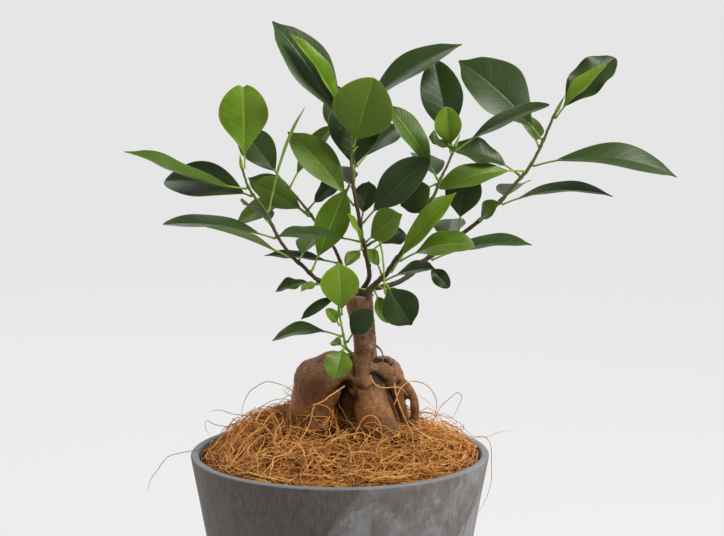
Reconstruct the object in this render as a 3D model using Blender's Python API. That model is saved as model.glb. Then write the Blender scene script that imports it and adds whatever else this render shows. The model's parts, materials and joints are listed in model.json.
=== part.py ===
"""A grafted fig bonsai with swollen roots, standing in a round tapered pot.

The pot, its soil and the coir mulch are turned shapes. The trunk and its roots grew as one
piece. Each grafted stem and each leaf is a piece of its own, a small gap away from what it
grows on. The origin is the centre of the pot's underside, +Z is up and -Y is the front.
Lengths are in metres; tables of points are in millimetres and are scaled by MM.
"""

import math
from dataclasses import dataclass

import bmesh
import bpy
from mathutils import Vector

MM = 0.001

# Fit between pieces.
GAP = 0.0003
ROOT_CLEARANCE = 0.0014

# Pot.
POT_HEIGHT = 0.180
POT_RIM_RADIUS = 0.095
POT_BASE_RADIUS = 0.063
POT_WALL = 0.005
POT_FLOOR = 0.006
POT_LIP_ROUND = 0.0014
DRAIN_HOLES = 4
DRAIN_HOLE_RADIUS = 0.005
DRAIN_CIRCLE_RADIUS = 0.034
POT_SIDES = 64

# Soil and mulch: how far below the rim they meet the wall, and how far they rise in the middle.
SOIL_BELOW_RIM = 0.016
SOIL_RISE = 0.013
MULCH_BELOW_RIM = 0.003
MULCH_RISE = 0.023
MULCH_LEAN = 0.035
MOUND_POWER = 3.4
FILL_RINGS = 7

# Trunk: height of its cut top above the rim, and where its middle stands at the top.
TRUNK_ABOVE_RIM = 0.100
TRUNK_TOP_X = 0.012
ROOT_VOXEL = 0.0011
ROOT_FACES = 2700
CUTTER_FACES = 900

# Stems and leaves.
STEM_SIDES = 6
STEM_STEPS = 2
LEAF_THICKNESS = 0.0006
STALK_RADIUS = 0.0006
STALK_WAIST = 0.9
BLADE_STATIONS = (0.07, 0.2, 0.36, 0.54, 0.72, 0.88)

# Swollen roots and trunk, as runs of (x, y, height above the rim, radius) in millimetres.
# Each run is a row of balls with tapered tubes between them. The trunk's own run is given
# as (sideways from its top, y, share of its height, radius): it goes on past the cut top,
# where it is sawn off level, and ends in the crown of the roots.
TRUNK_RUN = (
    (0.0, 0, 1.08, 9.0),
    (0.1, 0, 0.96, 8.8),
    (3.2, 0, 0.77, 7.6),
    (4.6, 0, 0.62, 7.1),
)
CROWN_RUN = ((16.6, 0, 62, 7.1), (15, -2, 51, 9.6), (13.5, -5, 42, 9.2))
ROOT_RUNS = (
    # Big lobe on the left.
    ((9, 0, 53, 10), (-4.5, 2, 51, 13.3), (-13.5, -3, 44.5, 16.6), (-18, -5, 30, 13.9),
     (-18.8, -6, 13, 13), (-17, -4, -8, 8), (-15, -2, -26, 3.5)),
    # Oval root leaning forward on the right.
    ((16, -7, 43, 8), (19, -12, 36, 10.8), (21.6, -17, 28, 11.9), (25.4, -19, 17, 12.1),
     (28.5, -19, 6, 10), (27, -14, -12, 6), (25, -10, -28, 3)),
    # Round shoulder on the right and the leg below it.
    ((18, 2, 53, 8), (27.2, 4, 46.5, 14), (32.2, 3, 38, 9.6), (36.6, 1, 28, 5.8),
     (38.6, 1, 16, 5), (40, 2, 2, 4.6), (38, 4, -16, 3)),
    # Slim root standing clear of the shoulder, with daylight between them.
    ((36.5, 4, 44, 4), (41.5, 3, 41.5, 3.3), (45.4, 2, 37, 3.1), (47.4, 2, 31, 3),
     (47.8, 1, 24, 2.9), (46.6, 0, 14, 3), (44, 0, -8, 2.4)),
    # Root seen inside the dark hollow.
    ((7, 8, 46, 7), (5.2, 6, 31, 6), (6.6, 4, 14, 6), (8, 2, -10, 4)),
    # Two roots behind.
    ((22, 10, 44, 10), (25, 17, 30, 11), (27, 21, 8, 8.5), (25, 18, -16, 4)),
    ((-2, 9, 44, 12), (-7, 16, 32, 12.5), (-9, 20, 12, 10.5), (-6, 17, -14, 5)),
)
# Fills the pocket between the legs, so that the mulch has one hole and not one for each leg.
CORE_RUN = ((9, 3, 26, 15), (9, 3, -20, 15))


@dataclass(frozen=True)
class Stem:
    """A grafted stem or a shoot, with its route in millimetres.

    The route is measured from the middle of the trunk's cut top or, for a shoot that
    stands on the roots, from the middle of the pot's rim. A twig starts off its parent's
    bark, at a share `at` of the parent's length, in place of its first point.
    """

    name: str
    route: tuple
    base_radius: float
    tip_radius: float
    finish: str = "bark_young"
    parent: str = ""
    at: float = 0.0
    on_roots: bool = False


@dataclass(frozen=True)
class Leaf:
    """One leaf, which grows at a share `at` of its stem's length.

    reach is from the stem to the leaf's tip and width is across the blade, in millimetres.
    face is the way the upper side looks. stalk is the stalk's length, arch how far the
    middle bows towards face, fold the angle of each half above level, and belly where
    along the blade it is widest.
    """

    name: str
    stem: str
    at: float
    reach: tuple
    face: tuple
    width: float
    finish: str = "leaf_mature"
    stalk: float = 9.0
    arch: float = 3.0
    fold: float = 14.0
    belly: float = 0.52


STEMS = (
    Stem("left_branch", ((-6, -3, 0), (-7, -3, 3.5), (-16, -6, 6), (-26, -10, 11), (-34, -13, 19),
                         (-42, -16, 27), (-50, -19, 39), (-57, -21, 54), (-64, -22, 64),
                         (-68, -23, 71), (-71, -24, 81)), 2.1, 1.0),
    Stem("centre_branch", ((1.5, 0, 0), (3, 0, 4), (6.6, -4, 12), (5.4, -6, 22), (2.2, -8, 35),
                           (0, -10, 51), (-2.7, -12, 65), (-4.5, -13, 82), (-4.5, -14, 94),
                           (-5, -13, 104), (-5.5, -12, 111)), 2.3, 0.9),
    Stem("back_branch", ((-3.2, 5.4, 0), (-4, 6, 4), (-8.5, 10, 11), (-12, 16, 19), (-16, 24, 27),
                         (-25, 32, 39), (-34, 42, 50), (-42, 50, 59), (-50, 58, 66)), 1.9, 0.9),
    Stem("right_branch", ((4.8, -5, 0), (6.5, -6, 4), (17, -8, 14), (22, -10, 22), (27, -12, 29),
                          (33, -14, 41), (40, -14, 54), (47, -14, 65), (50, -13, 73),
                          (54, -12, 81), (59, -12, 93)), 2.2, 0.9),
    Stem("outer_branch", ((6.2, 3.2, 0), (8, 4, 3), (23, 8, 6), (34, 12, 12), (42, 14, 20),
                          (51, 16, 26), (65, 18, 36), (77, 20, 45), (90, 20, 57), (100, 20, 69),
                          (107, 20, 77), (112, 20, 85), (118, 20, 98), (122, 20, 108),
                          (125, 20, 114)), 2.3, 1.0),
    Stem("back_twig", ((-19, 25, 30), (-16, 30, 40), (-11, 36, 54), (-5, 42, 70), (-1, 46, 84)),
         1.4, 0.8, parent="back_branch", at=0.45),
    Stem("front_shoot", ((9, -8, 36), (12, -14, 36), (14.5, -18, 28), (15.5, -21, 16),
                         (16, -23, 7)), 0.9, 0.7, finish="stem_green",
         parent="centre_branch", at=0.3),
    Stem("water_shoot", ((8, -10, 64), (6.5, -13, 66), (4, -18, 70), (2.5, -21, 78),
                         (1, -23, 86), (0, -24, 92)), 1.1, 0.8, finish="stem_green",
         on_roots=True),
)

LEAVES = (
    # Left branch.
    Leaf("left_leaf_spoon", "left_branch", 1.0, (-1, 2, 50), (0, -1, 0.1), 31, "leaf_young",
         stalk=5, arch=-2, fold=10, belly=0.6),
    Leaf("left_leaf_far", "left_branch", 0.89, (-71, -6, 26), (0.3, -0.3, 1), 22, "leaf_medium",
         arch=-5, fold=22),
    Leaf("left_leaf_rear", "left_branch", 0.84, (-55, 19, 8), (0, -0.7, 0.7), 30,
         stalk=4, arch=5),
    Leaf("left_leaf_blade", "left_branch", 0.72, (22, -1, 63), (-1, -0.1, 0.4), 18,
         "leaf_medium", arch=3, fold=16),
    Leaf("left_leaf_low", "left_branch", 0.57, (-68, -5, 9), (0.1, -0.3, 1), 23, arch=4),
    Leaf("left_leaf_under", "left_branch", 0.43, (-53, 12, 18), (0.3, 0.3, 1), 22,
         "leaf_medium", arch=2),
    Leaf("left_leaf_bright", "left_branch", 0.29, (21, -6, 51), (0.1, -1, 0.2), 29,
         "leaf_young", arch=-3, fold=12),
    Leaf("left_leaf_small", "left_branch", 0.22, (-25, -8, -4), (0, -0.5, 1), 12, stalk=5),
    # Back branch and its twig.
    Leaf("back_leaf_far", "back_branch", 1.0, (-29, 17, 34), (0.2, -1, 0.3), 24),
    Leaf("back_leaf_up", "back_branch", 0.94, (29, 8, 41), (-0.6, -0.7, 0.3), 17,
         "leaf_medium"),
    Leaf("back_leaf_olive", "back_branch", 0.68, (-36, -13, 20), (0.1, -0.8, 0.6), 23,
         "leaf_medium", stalk=5),
    Leaf("back_leaf_dark", "back_branch", 0.66, (-40, 13, 24), (0.1, -0.7, 0.7), 22),
    Leaf("back_leaf_pale", "back_branch", 0.84, (-39, 9, -16), (0, -0.7, 0.7), 18,
         "leaf_medium"),
    Leaf("back_leaf_crown", "back_twig", 1.0, (-12, 12, 46), (0, -1, 0.2), 28),
    Leaf("back_leaf_rear", "back_twig", 0.9, (30, 24, 26), (-0.2, -0.6, 0.8), 25),
    # Centre branch, from the tip down.
    Leaf("crown_leaf_left", "centre_branch", 0.94, (-46, 3, 66), (0.5, -0.8, 0.3), 31,
         arch=4),
    Leaf("crown_leaf_bright", "centre_branch", 0.98, (-35, -8, 54), (0.7, -0.6, 0.3), 15,
         "leaf_young", fold=36, arch=3),
    Leaf("crown_leaf_right", "centre_branch", 0.99, (67, -1, 46), (-0.4, -0.6, 0.8), 25,
         arch=7),
    Leaf("crown_leaf_back", "centre_branch", 0.66, (1, 18, 55), (0, -1, 0.2), 35),
    Leaf("centre_leaf_front", "centre_branch", 0.85, (12, -12, 42), (-0.1, -1, 0.2), 39,
         "leaf_medium", stalk=4, belly=0.5),
    Leaf("centre_leaf_left", "centre_branch", 0.53, (-41, 10, 45), (0.4, -0.9, 0.4), 25,
         "leaf_medium", arch=4),
    Leaf("centre_leaf_right", "centre_branch", 0.43, (40, -16, 40), (-0.3, -0.9, 0.4), 25,
         arch=4),
    Leaf("centre_leaf_spade", "centre_branch", 0.32, (22, -20, 19), (-0.2, -0.9, 0.4), 21,
         "leaf_medium", stalk=5, fold=10),
    Leaf("centre_leaf_low", "centre_branch", 0.33, (-49, -38, 7), (0, -0.5, 1), 18, arch=3),
    Leaf("centre_leaf_under", "centre_branch", 0.25, (22, 10, 12), (0, -0.7, 0.7), 18),
    # Right branch, from the tip down.
    Leaf("right_leaf_tall", "right_branch", 1.0, (-11, 12, 53), (0, -1, 0.1), 27, stalk=6),
    Leaf("right_leaf_young", "right_branch", 0.97, (-3, -10, 28), (-0.1, -1, 0.3), 17,
         "leaf_young", stalk=4),
    Leaf("right_leaf_lance", "right_branch", 0.99, (56, -8, 28), (-0.3, -0.5, 1), 19, arch=4),
    Leaf("right_leaf_green", "right_branch", 0.8, (-31, 1, 46), (0.6, -0.8, 0.3), 19,
         "leaf_medium"),
    Leaf("right_leaf_droop", "right_branch", 0.77, (-21, 6, -14), (0, -0.9, 0.4), 24, stalk=4),
    Leaf("right_leaf_bright", "right_branch", 0.21, (39, -17, 51), (-0.4, -0.9, 0.3), 15,
         "leaf_young", fold=25, stalk=12, arch=5),
    Leaf("right_leaf_broad", "right_branch", 0.29, (45, -15, 11), (0, -0.7, 0.8), 21,
         "leaf_medium", arch=7),
    Leaf("right_leaf_low", "right_branch", 0.14, (31, -15, 10), (-0.1, -0.5, 1), 16),
    # Outer branch, from the tip down.
    Leaf("outer_leaf_bright", "outer_branch", 0.99, (30, -6, 32), (-0.5, -0.7, 0.4), 12,
         "leaf_young", fold=34, stalk=5),
    Leaf("outer_leaf_curled", "outer_branch", 0.98, (39, 12, 38), (-0.3, -0.8, 0.4), 25,
         arch=5),
    Leaf("outer_leaf_big", "outer_branch", 0.89, (-52, 8, 49), (0.4, -0.9, 0.3), 40, arch=6),
    Leaf("outer_leaf_long", "outer_branch", 0.79, (90, -6, -7), (0, -0.6, 0.9), 26,
         stalk=12, arch=11),
    Leaf("outer_leaf_left", "outer_branch", 0.75, (-54, -18, -10), (0, -0.7, 0.8), 20,
         "leaf_medium", arch=5),
    Leaf("outer_leaf_folded", "outer_branch", 0.73, (-43, -2, 17), (0.1, -0.7, 0.8), 21,
         arch=5),
    Leaf("outer_leaf_edge", "outer_branch", 0.61, (70, -2, 5), (0, -0.3, 1), 21, arch=7),
    Leaf("outer_leaf_up", "outer_branch", 0.42, (4, -4, 41), (0, -1, 0.1), 24),
    Leaf("outer_leaf_dark", "outer_branch", 0.28, (63, -5, 10), (0, -0.4, 1), 19, arch=6),
    Leaf("outer_leaf_drop", "outer_branch", 0.25, (14, -6, -14), (-0.3, -0.8, 0.5), 11,
         stalk=5),
    # Green shoots low on the plant.
    Leaf("shoot_leaf_spade", "water_shoot", 0.98, (-2, -6, 33), (0, -1, 0.1), 24,
         "leaf_young", stalk=3, fold=8, belly=0.55),
    Leaf("shoot_leaf_left", "water_shoot", 0.56, (-42, -6, -2), (0, -0.4, 1), 16, arch=6),
    Leaf("shoot_leaf_right", "water_shoot", 0.42, (15, -8, 21), (-0.3, -0.9, 0.2), 16,
         stalk=6),
    Leaf("shoot_leaf_low", "water_shoot", 0.38, (-6, -14, -19), (0, -0.9, 0.4), 18,
         "leaf_medium", stalk=3),
    Leaf("collar_leaf", "front_shoot", 0.95, (15, -6, -24), (-0.2, -0.9, 0.3), 25, stalk=3),
)

# Finish: base colour, roughness.
FINISHES = {
    "pot": ((0.23, 0.24, 0.25), 0.75),
    "soil": ((0.05, 0.035, 0.025), 0.95),
    "coir": ((0.55, 0.30, 0.10), 0.9),
    "bark": ((0.30, 0.16, 0.08), 0.7),
    "bark_young": ((0.10, 0.055, 0.03), 0.65),
    "stem_green": ((0.30, 0.40, 0.06), 0.5),
    "leaf_mature": ((0.035, 0.075, 0.02), 0.35),
    "leaf_medium": ((0.08, 0.17, 0.025), 0.38),
    "leaf_young": ((0.20, 0.40, 0.03), 0.4),
}


# --- Scene and objects ---------------------------------------------------------------------


def clear_scene():
    """Removes whatever the scene holds."""
    for obj in list(bpy.data.objects):
        bpy.data.objects.remove(obj, do_unlink=True)


def material(name):
    """The named finish as a Principled material, made once."""
    found = bpy.data.materials.get(name)
    if found:
        return found
    colour, roughness = FINISHES[name]
    made = bpy.data.materials.new(name)
    made.use_nodes = True
    shader = made.node_tree.nodes["Principled BSDF"]
    shader.inputs["Base Color"].default_value = (*colour, 1.0)
    shader.inputs["Roughness"].default_value = roughness
    return made


def add_object(name, mesh, finish):
    """A smooth object with this mesh and finish, linked to the scene."""
    mesh.name = name
    obj = bpy.data.objects.new(name, mesh)
    bpy.context.scene.collection.objects.link(obj)
    mesh.materials.clear()
    mesh.materials.append(material(finish))
    mesh.shade_smooth()
    mesh.set_sharp_from_angle(angle=math.radians(35))
    return obj


def mesh_from(bm):
    """Turns a bmesh into mesh data and frees it."""
    mesh = bpy.data.meshes.new("shape")
    bm.to_mesh(mesh)
    bm.free()
    return mesh


def evaluated_copy(obj):
    """The object's mesh with its modifiers applied."""
    depsgraph = bpy.context.evaluated_depsgraph_get()
    return bpy.data.meshes.new_from_object(obj.evaluated_get(depsgraph))


def as_cutter(obj):
    """Marks an object as a tool for a Boolean, which isn't part of the model."""
    obj.hide_render = True
    obj.display_type = "WIRE"
    return obj


def cut(obj, cutter):
    """Takes the cutter's shape out of the object."""
    boolean = obj.modifiers.new("cut_" + cutter.name, "BOOLEAN")
    boolean.operation = "DIFFERENCE"
    boolean.solver = "EXACT"
    boolean.object = cutter


# --- Shared shapes -------------------------------------------------------------------------


def loft(rings, apex=None):
    """Skins rings that have the same number of points; both ends are closed."""
    bm = bmesh.new()
    rows = [[bm.verts.new(point) for point in ring] for ring in rings]
    count = len(rows[0])
    for near, far in zip(rows, rows[1:]):
        for i in range(count):
            j = (i + 1) % count
            bm.faces.new((near[i], near[j], far[j], far[i]))
    bm.faces.new(list(reversed(rows[0])))
    if apex is None:
        bm.faces.new(rows[-1])
    else:
        tip = bm.verts.new(apex)
        for i in range(count):
            bm.faces.new((rows[-1][i], rows[-1][(i + 1) % count], tip))
    bmesh.ops.recalc_face_normals(bm, faces=bm.faces)
    return mesh_from(bm)


def smooth_route(points, steps):
    """A Catmull-Rom curve through the points, with this many steps between each two."""
    ends = [points[0] * 2 - points[1], *points, points[-1] * 2 - points[-2]]
    route = []
    for a, b, c, d in zip(ends, ends[1:], ends[2:], ends[3:]):
        for k in range(steps):
            t = k / steps
            route.append(
                0.5 * (2 * b + (c - a) * t + (2 * a - 5 * b + 4 * c - d) * t**2
                       + (3 * b - a - 3 * c + d) * t**3)
            )
    route.append(points[-1])
    return route


def directions(route):
    """The unit tangent at each point of a route."""
    spans = [(b - a).normalized() for a, b in zip(route, route[1:])]
    middle = [(a + b).normalized() for a, b in zip(spans, spans[1:])]
    return [spans[0], *middle, spans[-1]]


def ring_around(centre, along, side, radius, count):
    """Points of a circle across the direction `along`, the first of them towards side."""
    across = (side - along * side.dot(along)).normalized()
    up = along.cross(across)
    turns = [math.tau * i / count for i in range(count)]
    return [centre + (across * math.cos(a) + up * math.sin(a)) * radius for a in turns]


def tapered_tube(route, radii, sides, level_foot=False):
    """A tube along the route; level_foot cuts its first end level, to sit on a flat top."""
    tangents = directions(route)
    if level_foot:
        tangents[0] = Vector((0, 0, 1))
    side = Vector((1, 0, 0)) if abs(tangents[0].x) < 0.8 else Vector((0, 1, 0))
    rings = []
    for centre, along, radius in zip(route, tangents, radii):
        rings.append(ring_around(centre, along, side, radius, sides))
        side = rings[-1][0] - centre
    return loft(rings)


# --- Pot -----------------------------------------------------------------------------------


def pot_radius(height, inset=0.0):
    """The pot's outer radius at a height, less an inset measured across."""
    share = height / POT_HEIGHT
    return POT_BASE_RADIUS + (POT_RIM_RADIUS - POT_BASE_RADIUS) * share - inset


def pot_profile():
    """Half the pot's section: inside floor, wall, rounded lip, outside wall, underside."""
    lip = POT_LIP_ROUND
    low = POT_HEIGHT - lip
    inner = pot_radius(POT_HEIGHT, POT_WALL)
    outer = POT_RIM_RADIUS
    corner = lip * (1 - math.sqrt(0.5))
    return [
        (0, POT_FLOOR),
        (pot_radius(POT_FLOOR, POT_WALL), POT_FLOOR),
        (pot_radius(low, POT_WALL), low),
        (inner + corner, POT_HEIGHT - corner),
        (inner + lip, POT_HEIGHT),
        (outer - lip, POT_HEIGHT),
        (outer - corner, POT_HEIGHT - corner),
        (pot_radius(low), low),
        (pot_radius(lip), lip),
        (POT_BASE_RADIUS - lip, 0),
        (0, 0),
    ]


def make_pot():
    """A turned pot with drain holes through its floor."""
    bm = bmesh.new()
    points = [bm.verts.new((radius, 0, height)) for radius, height in pot_profile()]
    for a, b in zip(points, points[1:]):
        bm.edges.new((a, b))
    pot = add_object("pot", mesh_from(bm), "pot")
    screw = pot.modifiers.new("turn", "SCREW")
    screw.steps = POT_SIDES
    screw.render_steps = POT_SIDES
    screw.use_merge_vertices = True
    screw.merge_threshold = 0.00005
    for i in range(DRAIN_HOLES):
        angle = math.tau * (i + 0.5) / DRAIN_HOLES
        bm = bmesh.new()
        bmesh.ops.create_cone(bm, cap_ends=True, segments=16, radius1=DRAIN_HOLE_RADIUS,
                              radius2=DRAIN_HOLE_RADIUS, depth=POT_FLOOR * 4)
        drill = as_cutter(add_object(f"drain_drill_{i}", mesh_from(bm), "pot"))
        drill.location = (DRAIN_CIRCLE_RADIUS * math.cos(angle),
                          DRAIN_CIRCLE_RADIUS * math.sin(angle), 0)
        cut(pot, drill)


# --- Trunk and roots -----------------------------------------------------------------------


def run_mesh(runs, growth=0.0):
    """Balls and tapered tubes along each run, all in one mesh, grown by an amount."""
    bm = bmesh.new()
    for run in runs:
        balls = [(Vector((x * MM, y * MM, POT_HEIGHT + z * MM)), r * MM + growth)
                 for x, y, z, r in run]
        for centre, radius in balls:
            ball = bmesh.ops.create_uvsphere(bm, u_segments=16, v_segments=10, radius=radius)
            bmesh.ops.translate(bm, verts=ball["verts"], vec=centre)
        for (a, radius_a), (b, radius_b) in zip(balls, balls[1:]):
            along = b - a
            tube = bmesh.ops.create_cone(bm, cap_ends=True, segments=16, radius1=radius_a,
                                         radius2=radius_b, depth=along.length)
            turn = Vector((0, 0, 1)).rotation_difference(along).to_matrix()
            bmesh.ops.rotate(bm, verts=tube["verts"], matrix=turn)
            bmesh.ops.translate(bm, verts=tube["verts"], vec=(a + b) / 2)
    return mesh_from(bm)


def fuse(name, mesh, voxel, faces, smoothing):
    """Melts overlapping shapes into one skin of about this many faces."""
    lump = add_object(name, mesh, "bark")
    remesh = lump.modifiers.new("melt", "REMESH")
    remesh.mode = "VOXEL"
    remesh.voxel_size = voxel
    if smoothing:
        soften = lump.modifiers.new("soften", "SMOOTH")
        soften.factor = 0.5
        soften.iterations = smoothing
    fine = evaluated_copy(lump)
    thin = lump.modifiers.new("thin", "DECIMATE")
    thin.ratio = min(1.0, faces / (2 * len(fine.polygons)))
    fused = evaluated_copy(lump)
    bpy.data.objects.remove(lump, do_unlink=True)
    return fused


def saw_level(mesh, height):
    """Cuts off what stands above a height and closes the cut."""
    bm = bmesh.new()
    bm.from_mesh(mesh)
    whole = bm.verts[:] + bm.edges[:] + bm.faces[:]
    sawn = bmesh.ops.bisect_plane(bm, geom=whole, plane_co=(0, 0, height),
                                  plane_no=(0, 0, 1), clear_outer=True)
    rim = [item for item in sawn["geom_cut"] if isinstance(item, bmesh.types.BMEdge)]
    bmesh.ops.holes_fill(bm, edges=rim, sides=0)
    bmesh.ops.recalc_face_normals(bm, faces=bm.faces)
    return mesh_from(bm)


def trunk_run():
    """The trunk's run in millimetres, from its own height down to the crown."""
    top, middle = TRUNK_ABOVE_RIM / MM, TRUNK_TOP_X / MM
    return (*((middle + x, y, share * top, r) for x, y, share, r in TRUNK_RUN), *CROWN_RUN)


def make_trunk_with_roots():
    """One grown piece: the grafted trunk, sawn off level, on its swollen roots."""
    runs = (trunk_run(), *ROOT_RUNS)
    fused = fuse("melting_roots", run_mesh(runs), ROOT_VOXEL, ROOT_FACES, 8)
    add_object("trunk_with_roots", saw_level(fused, POT_HEIGHT + TRUNK_ABOVE_RIM), "bark")


def root_cutter(name, extra_runs=()):
    """The roots grown by their clearance, to cut the soil and the mulch with."""
    shape = run_mesh((*ROOT_RUNS, *extra_runs), ROOT_CLEARANCE)
    return as_cutter(add_object(name, fuse("melting_cutter", shape, 2 * ROOT_VOXEL,
                                           CUTTER_FACES, 2), "bark"))


# --- Soil and mulch ------------------------------------------------------------------------


def mound(radius, angle, below_rim, rise, lean):
    """Height of a mound at a place: it meets the wall below the rim and swells inwards."""
    share = min(1.0, radius / POT_RIM_RADIUS)
    swell = rise - lean * radius * math.cos(angle) * (1 - share)
    return POT_HEIGHT - below_rim + swell * (1 - share**MOUND_POWER)


def fill_rings(height_at):
    """Rings of a mound's surface, from the pot's wall inwards, and its middle point."""
    rings = []
    for k in range(FILL_RINGS, 0, -1):
        ring = []
        for i in range(POT_SIDES):
            angle = math.tau * i / POT_SIDES
            edge = pot_radius(height_at(POT_RIM_RADIUS, angle), POT_WALL + GAP)
            radius = edge * k / FILL_RINGS
            height = height_at(radius if k < FILL_RINGS else POT_RIM_RADIUS, angle)
            ring.append(Vector((radius * math.cos(angle), radius * math.sin(angle), height)))
        rings.append(ring)
    return rings, Vector((0, 0, height_at(0.0, 0.0)))


def close_fill(name, finish, top, bottom):
    """A closed piece between an upper surface and a lower one, each rings and a middle."""
    bm = bmesh.new()
    outer_rows = []
    for (rings, middle), upward in ((top, True), (bottom, False)):
        rows = [[bm.verts.new(point) for point in ring] for ring in rings]
        centre = bm.verts.new(middle)
        for near, far in zip(rows, rows[1:]):
            for i in range(POT_SIDES):
                j = (i + 1) % POT_SIDES
                bm.faces.new((near[i], near[j], far[j], far[i]))
        for i in range(POT_SIDES):
            bm.faces.new((rows[-1][i], rows[-1][(i + 1) % POT_SIDES], centre))
        outer_rows.append(rows[0])
    for i in range(POT_SIDES):
        j = (i + 1) % POT_SIDES
        bm.faces.new((outer_rows[0][i], outer_rows[0][j], outer_rows[1][j], outer_rows[1][i]))
    bmesh.ops.recalc_face_normals(bm, faces=bm.faces)
    return add_object(name, mesh_from(bm), finish)


def soil_top(radius, angle):
    """Height of the soil's surface."""
    return mound(radius, angle, SOIL_BELOW_RIM, SOIL_RISE, 0.0)


def mulch_bottom(radius, angle):
    """Height of the mulch's underside, which rests on the soil."""
    return soil_top(radius, angle) + GAP


def mulch_top(radius, angle):
    """Height of the mulch's surface."""
    return mound(radius, angle, MULCH_BELOW_RIM, MULCH_RISE, MULCH_LEAN)


def soil_floor():
    """The soil's underside as one ring and a middle, just above the pot's floor."""
    height = POT_FLOOR + GAP
    radius = pot_radius(height, POT_WALL + GAP)
    turns = [math.tau * i / POT_SIDES for i in range(POT_SIDES)]
    ring = [Vector((radius * math.cos(a), radius * math.sin(a), height)) for a in turns]
    return [ring], Vector((0, 0, height))


def make_soil_and_mulch():
    """The soil fills the pot, and the mulch lies on it around the roots."""
    soil = close_fill("potting_soil", "soil", fill_rings(soil_top), soil_floor())
    cut(soil, root_cutter("soil_cutter"))
    mulch = close_fill("coir_mulch", "coir", fill_rings(mulch_top), fill_rings(mulch_bottom))
    cut(mulch, root_cutter("mulch_cutter", (CORE_RUN,)))


# --- Stems ---------------------------------------------------------------------------------


class BuiltStem:
    """A stem's smooth route and radii, and the places where leaves and twigs grow on it."""

    def __init__(self, stem, parents):
        origin = Vector((0, 0, POT_HEIGHT))
        if not stem.on_roots:
            origin = Vector((TRUNK_TOP_X, 0, POT_HEIGHT + TRUNK_ABOVE_RIM + GAP))
        points = [origin + Vector(point) * MM for point in stem.route]
        if stem.parent:
            parent = parents[stem.parent]
            outwards = points[1] - parent.spot(stem.at)[0]
            points[0] = parent.surface(stem.at, outwards, stem.base_radius * MM)
        self.route = smooth_route(points, STEM_STEPS)
        last = len(self.route) - 1
        base, tip = stem.base_radius * MM, stem.tip_radius * MM
        self.radii = [base + (tip - base) * i / last for i in range(last + 1)]

    def spot(self, at):
        """The middle line's point and direction, and the radius, at a share of the length."""
        lengths = [0.0]
        for a, b in zip(self.route, self.route[1:]):
            lengths.append(lengths[-1] + (b - a).length)
        goal = at * lengths[-1]
        i = max(k for k in range(len(lengths) - 1) if lengths[k] <= goal)
        share = min(1.0, (goal - lengths[i]) / (lengths[i + 1] - lengths[i]))
        centre = self.route[i].lerp(self.route[i + 1], share)
        along = (self.route[i + 1] - self.route[i]).normalized()
        radius = self.radii[i] + (self.radii[i + 1] - self.radii[i]) * share
        return centre, along, radius

    def surface(self, at, outwards, foot_radius):
        """The middle of a foot that stands just off the bark, on the side given."""
        centre, along, radius = self.spot(at)
        across = (outwards - along * outwards.dot(along)).normalized()
        return centre + across * (radius + GAP + foot_radius)


def make_stems():
    """Every stem as a tapered tube, and their routes for the leaves to grow on."""
    built = {}
    for stem in STEMS:
        made = BuiltStem(stem, built)
        built[stem.name] = made
        grafted = not stem.parent and not stem.on_roots
        tube = tapered_tube(made.route, made.radii, STEM_SIDES, level_foot=grafted)
        add_object(stem.name, tube, stem.finish)
    return built


# --- Leaves --------------------------------------------------------------------------------


def blade_half_width(share, width, belly):
    """Half the blade's width at a share of its length: oval, widest at belly, with a point."""
    power = math.log(0.5) / math.log(belly)
    return width / 2 * math.sin(math.pi * share**power) ** 0.8


def leaf_ring(centre, along, face, half_width, half_thickness, fold):
    """Left edge, top of the midrib, right edge and underside of the midrib."""
    up = (face - along * face.dot(along)).normalized()
    side = along.cross(up)
    lift = up * half_width * math.sin(fold)
    reach = side * half_width * math.cos(fold)
    return [centre - reach + lift, centre + up * half_thickness,
            centre + reach + lift, centre - up * half_thickness]


def leaf_mesh(leaf, foot):
    """A stalk that widens into a folded, pointed blade, along a bowed middle line."""
    tip = foot + Vector(leaf.reach) * MM
    face = Vector(leaf.face).normalized()
    bend = foot.lerp(tip, 0.5) + face * (2 * leaf.arch * MM)
    length = (tip - foot).length
    stalk_share = leaf.stalk * MM / length

    def place(t):
        return foot.lerp(bend, t).lerp(bend.lerp(tip, t), t)

    def heading(t):
        return ((bend - foot) * (1 - t) + (tip - bend) * t).normalized()

    rings = []
    for t, size in ((0, 1.0), (stalk_share / 2, STALK_WAIST), (stalk_share, 1.0)):
        radius = STALK_RADIUS * size
        rings.append(leaf_ring(place(t), heading(t), face, radius, radius, 0.0))
    fold = math.radians(leaf.fold)
    for station in BLADE_STATIONS:
        t = stalk_share + (1 - stalk_share) * station
        half = blade_half_width(station, leaf.width * MM, leaf.belly)
        rings.append(leaf_ring(place(t), heading(t), face, half, LEAF_THICKNESS / 2, fold))
    return loft(rings, apex=tip)


def make_leaves(stems):
    """Every leaf, just off the bark of its stem."""
    for leaf in LEAVES:
        foot = stems[leaf.stem].surface(leaf.at, Vector(leaf.reach), STALK_RADIUS)
        add_object(leaf.name, leaf_mesh(leaf, foot), leaf.finish)


def main():
    """Builds every piece."""
    clear_scene()
    make_pot()
    make_soil_and_mulch()
    make_trunk_with_roots()
    make_leaves(make_stems())


main()
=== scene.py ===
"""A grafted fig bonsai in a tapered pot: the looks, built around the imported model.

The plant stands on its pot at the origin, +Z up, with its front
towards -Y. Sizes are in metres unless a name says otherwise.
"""

import json
import logging
import math
import random
from collections.abc import Iterable, Mapping, Sequence
from dataclasses import dataclass, field
from enum import Enum
from typing import ClassVar

import bmesh
import bpy
import numpy as np
from mathutils import Euler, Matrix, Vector, noise
from mathutils.bvhtree import BVHTree

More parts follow.
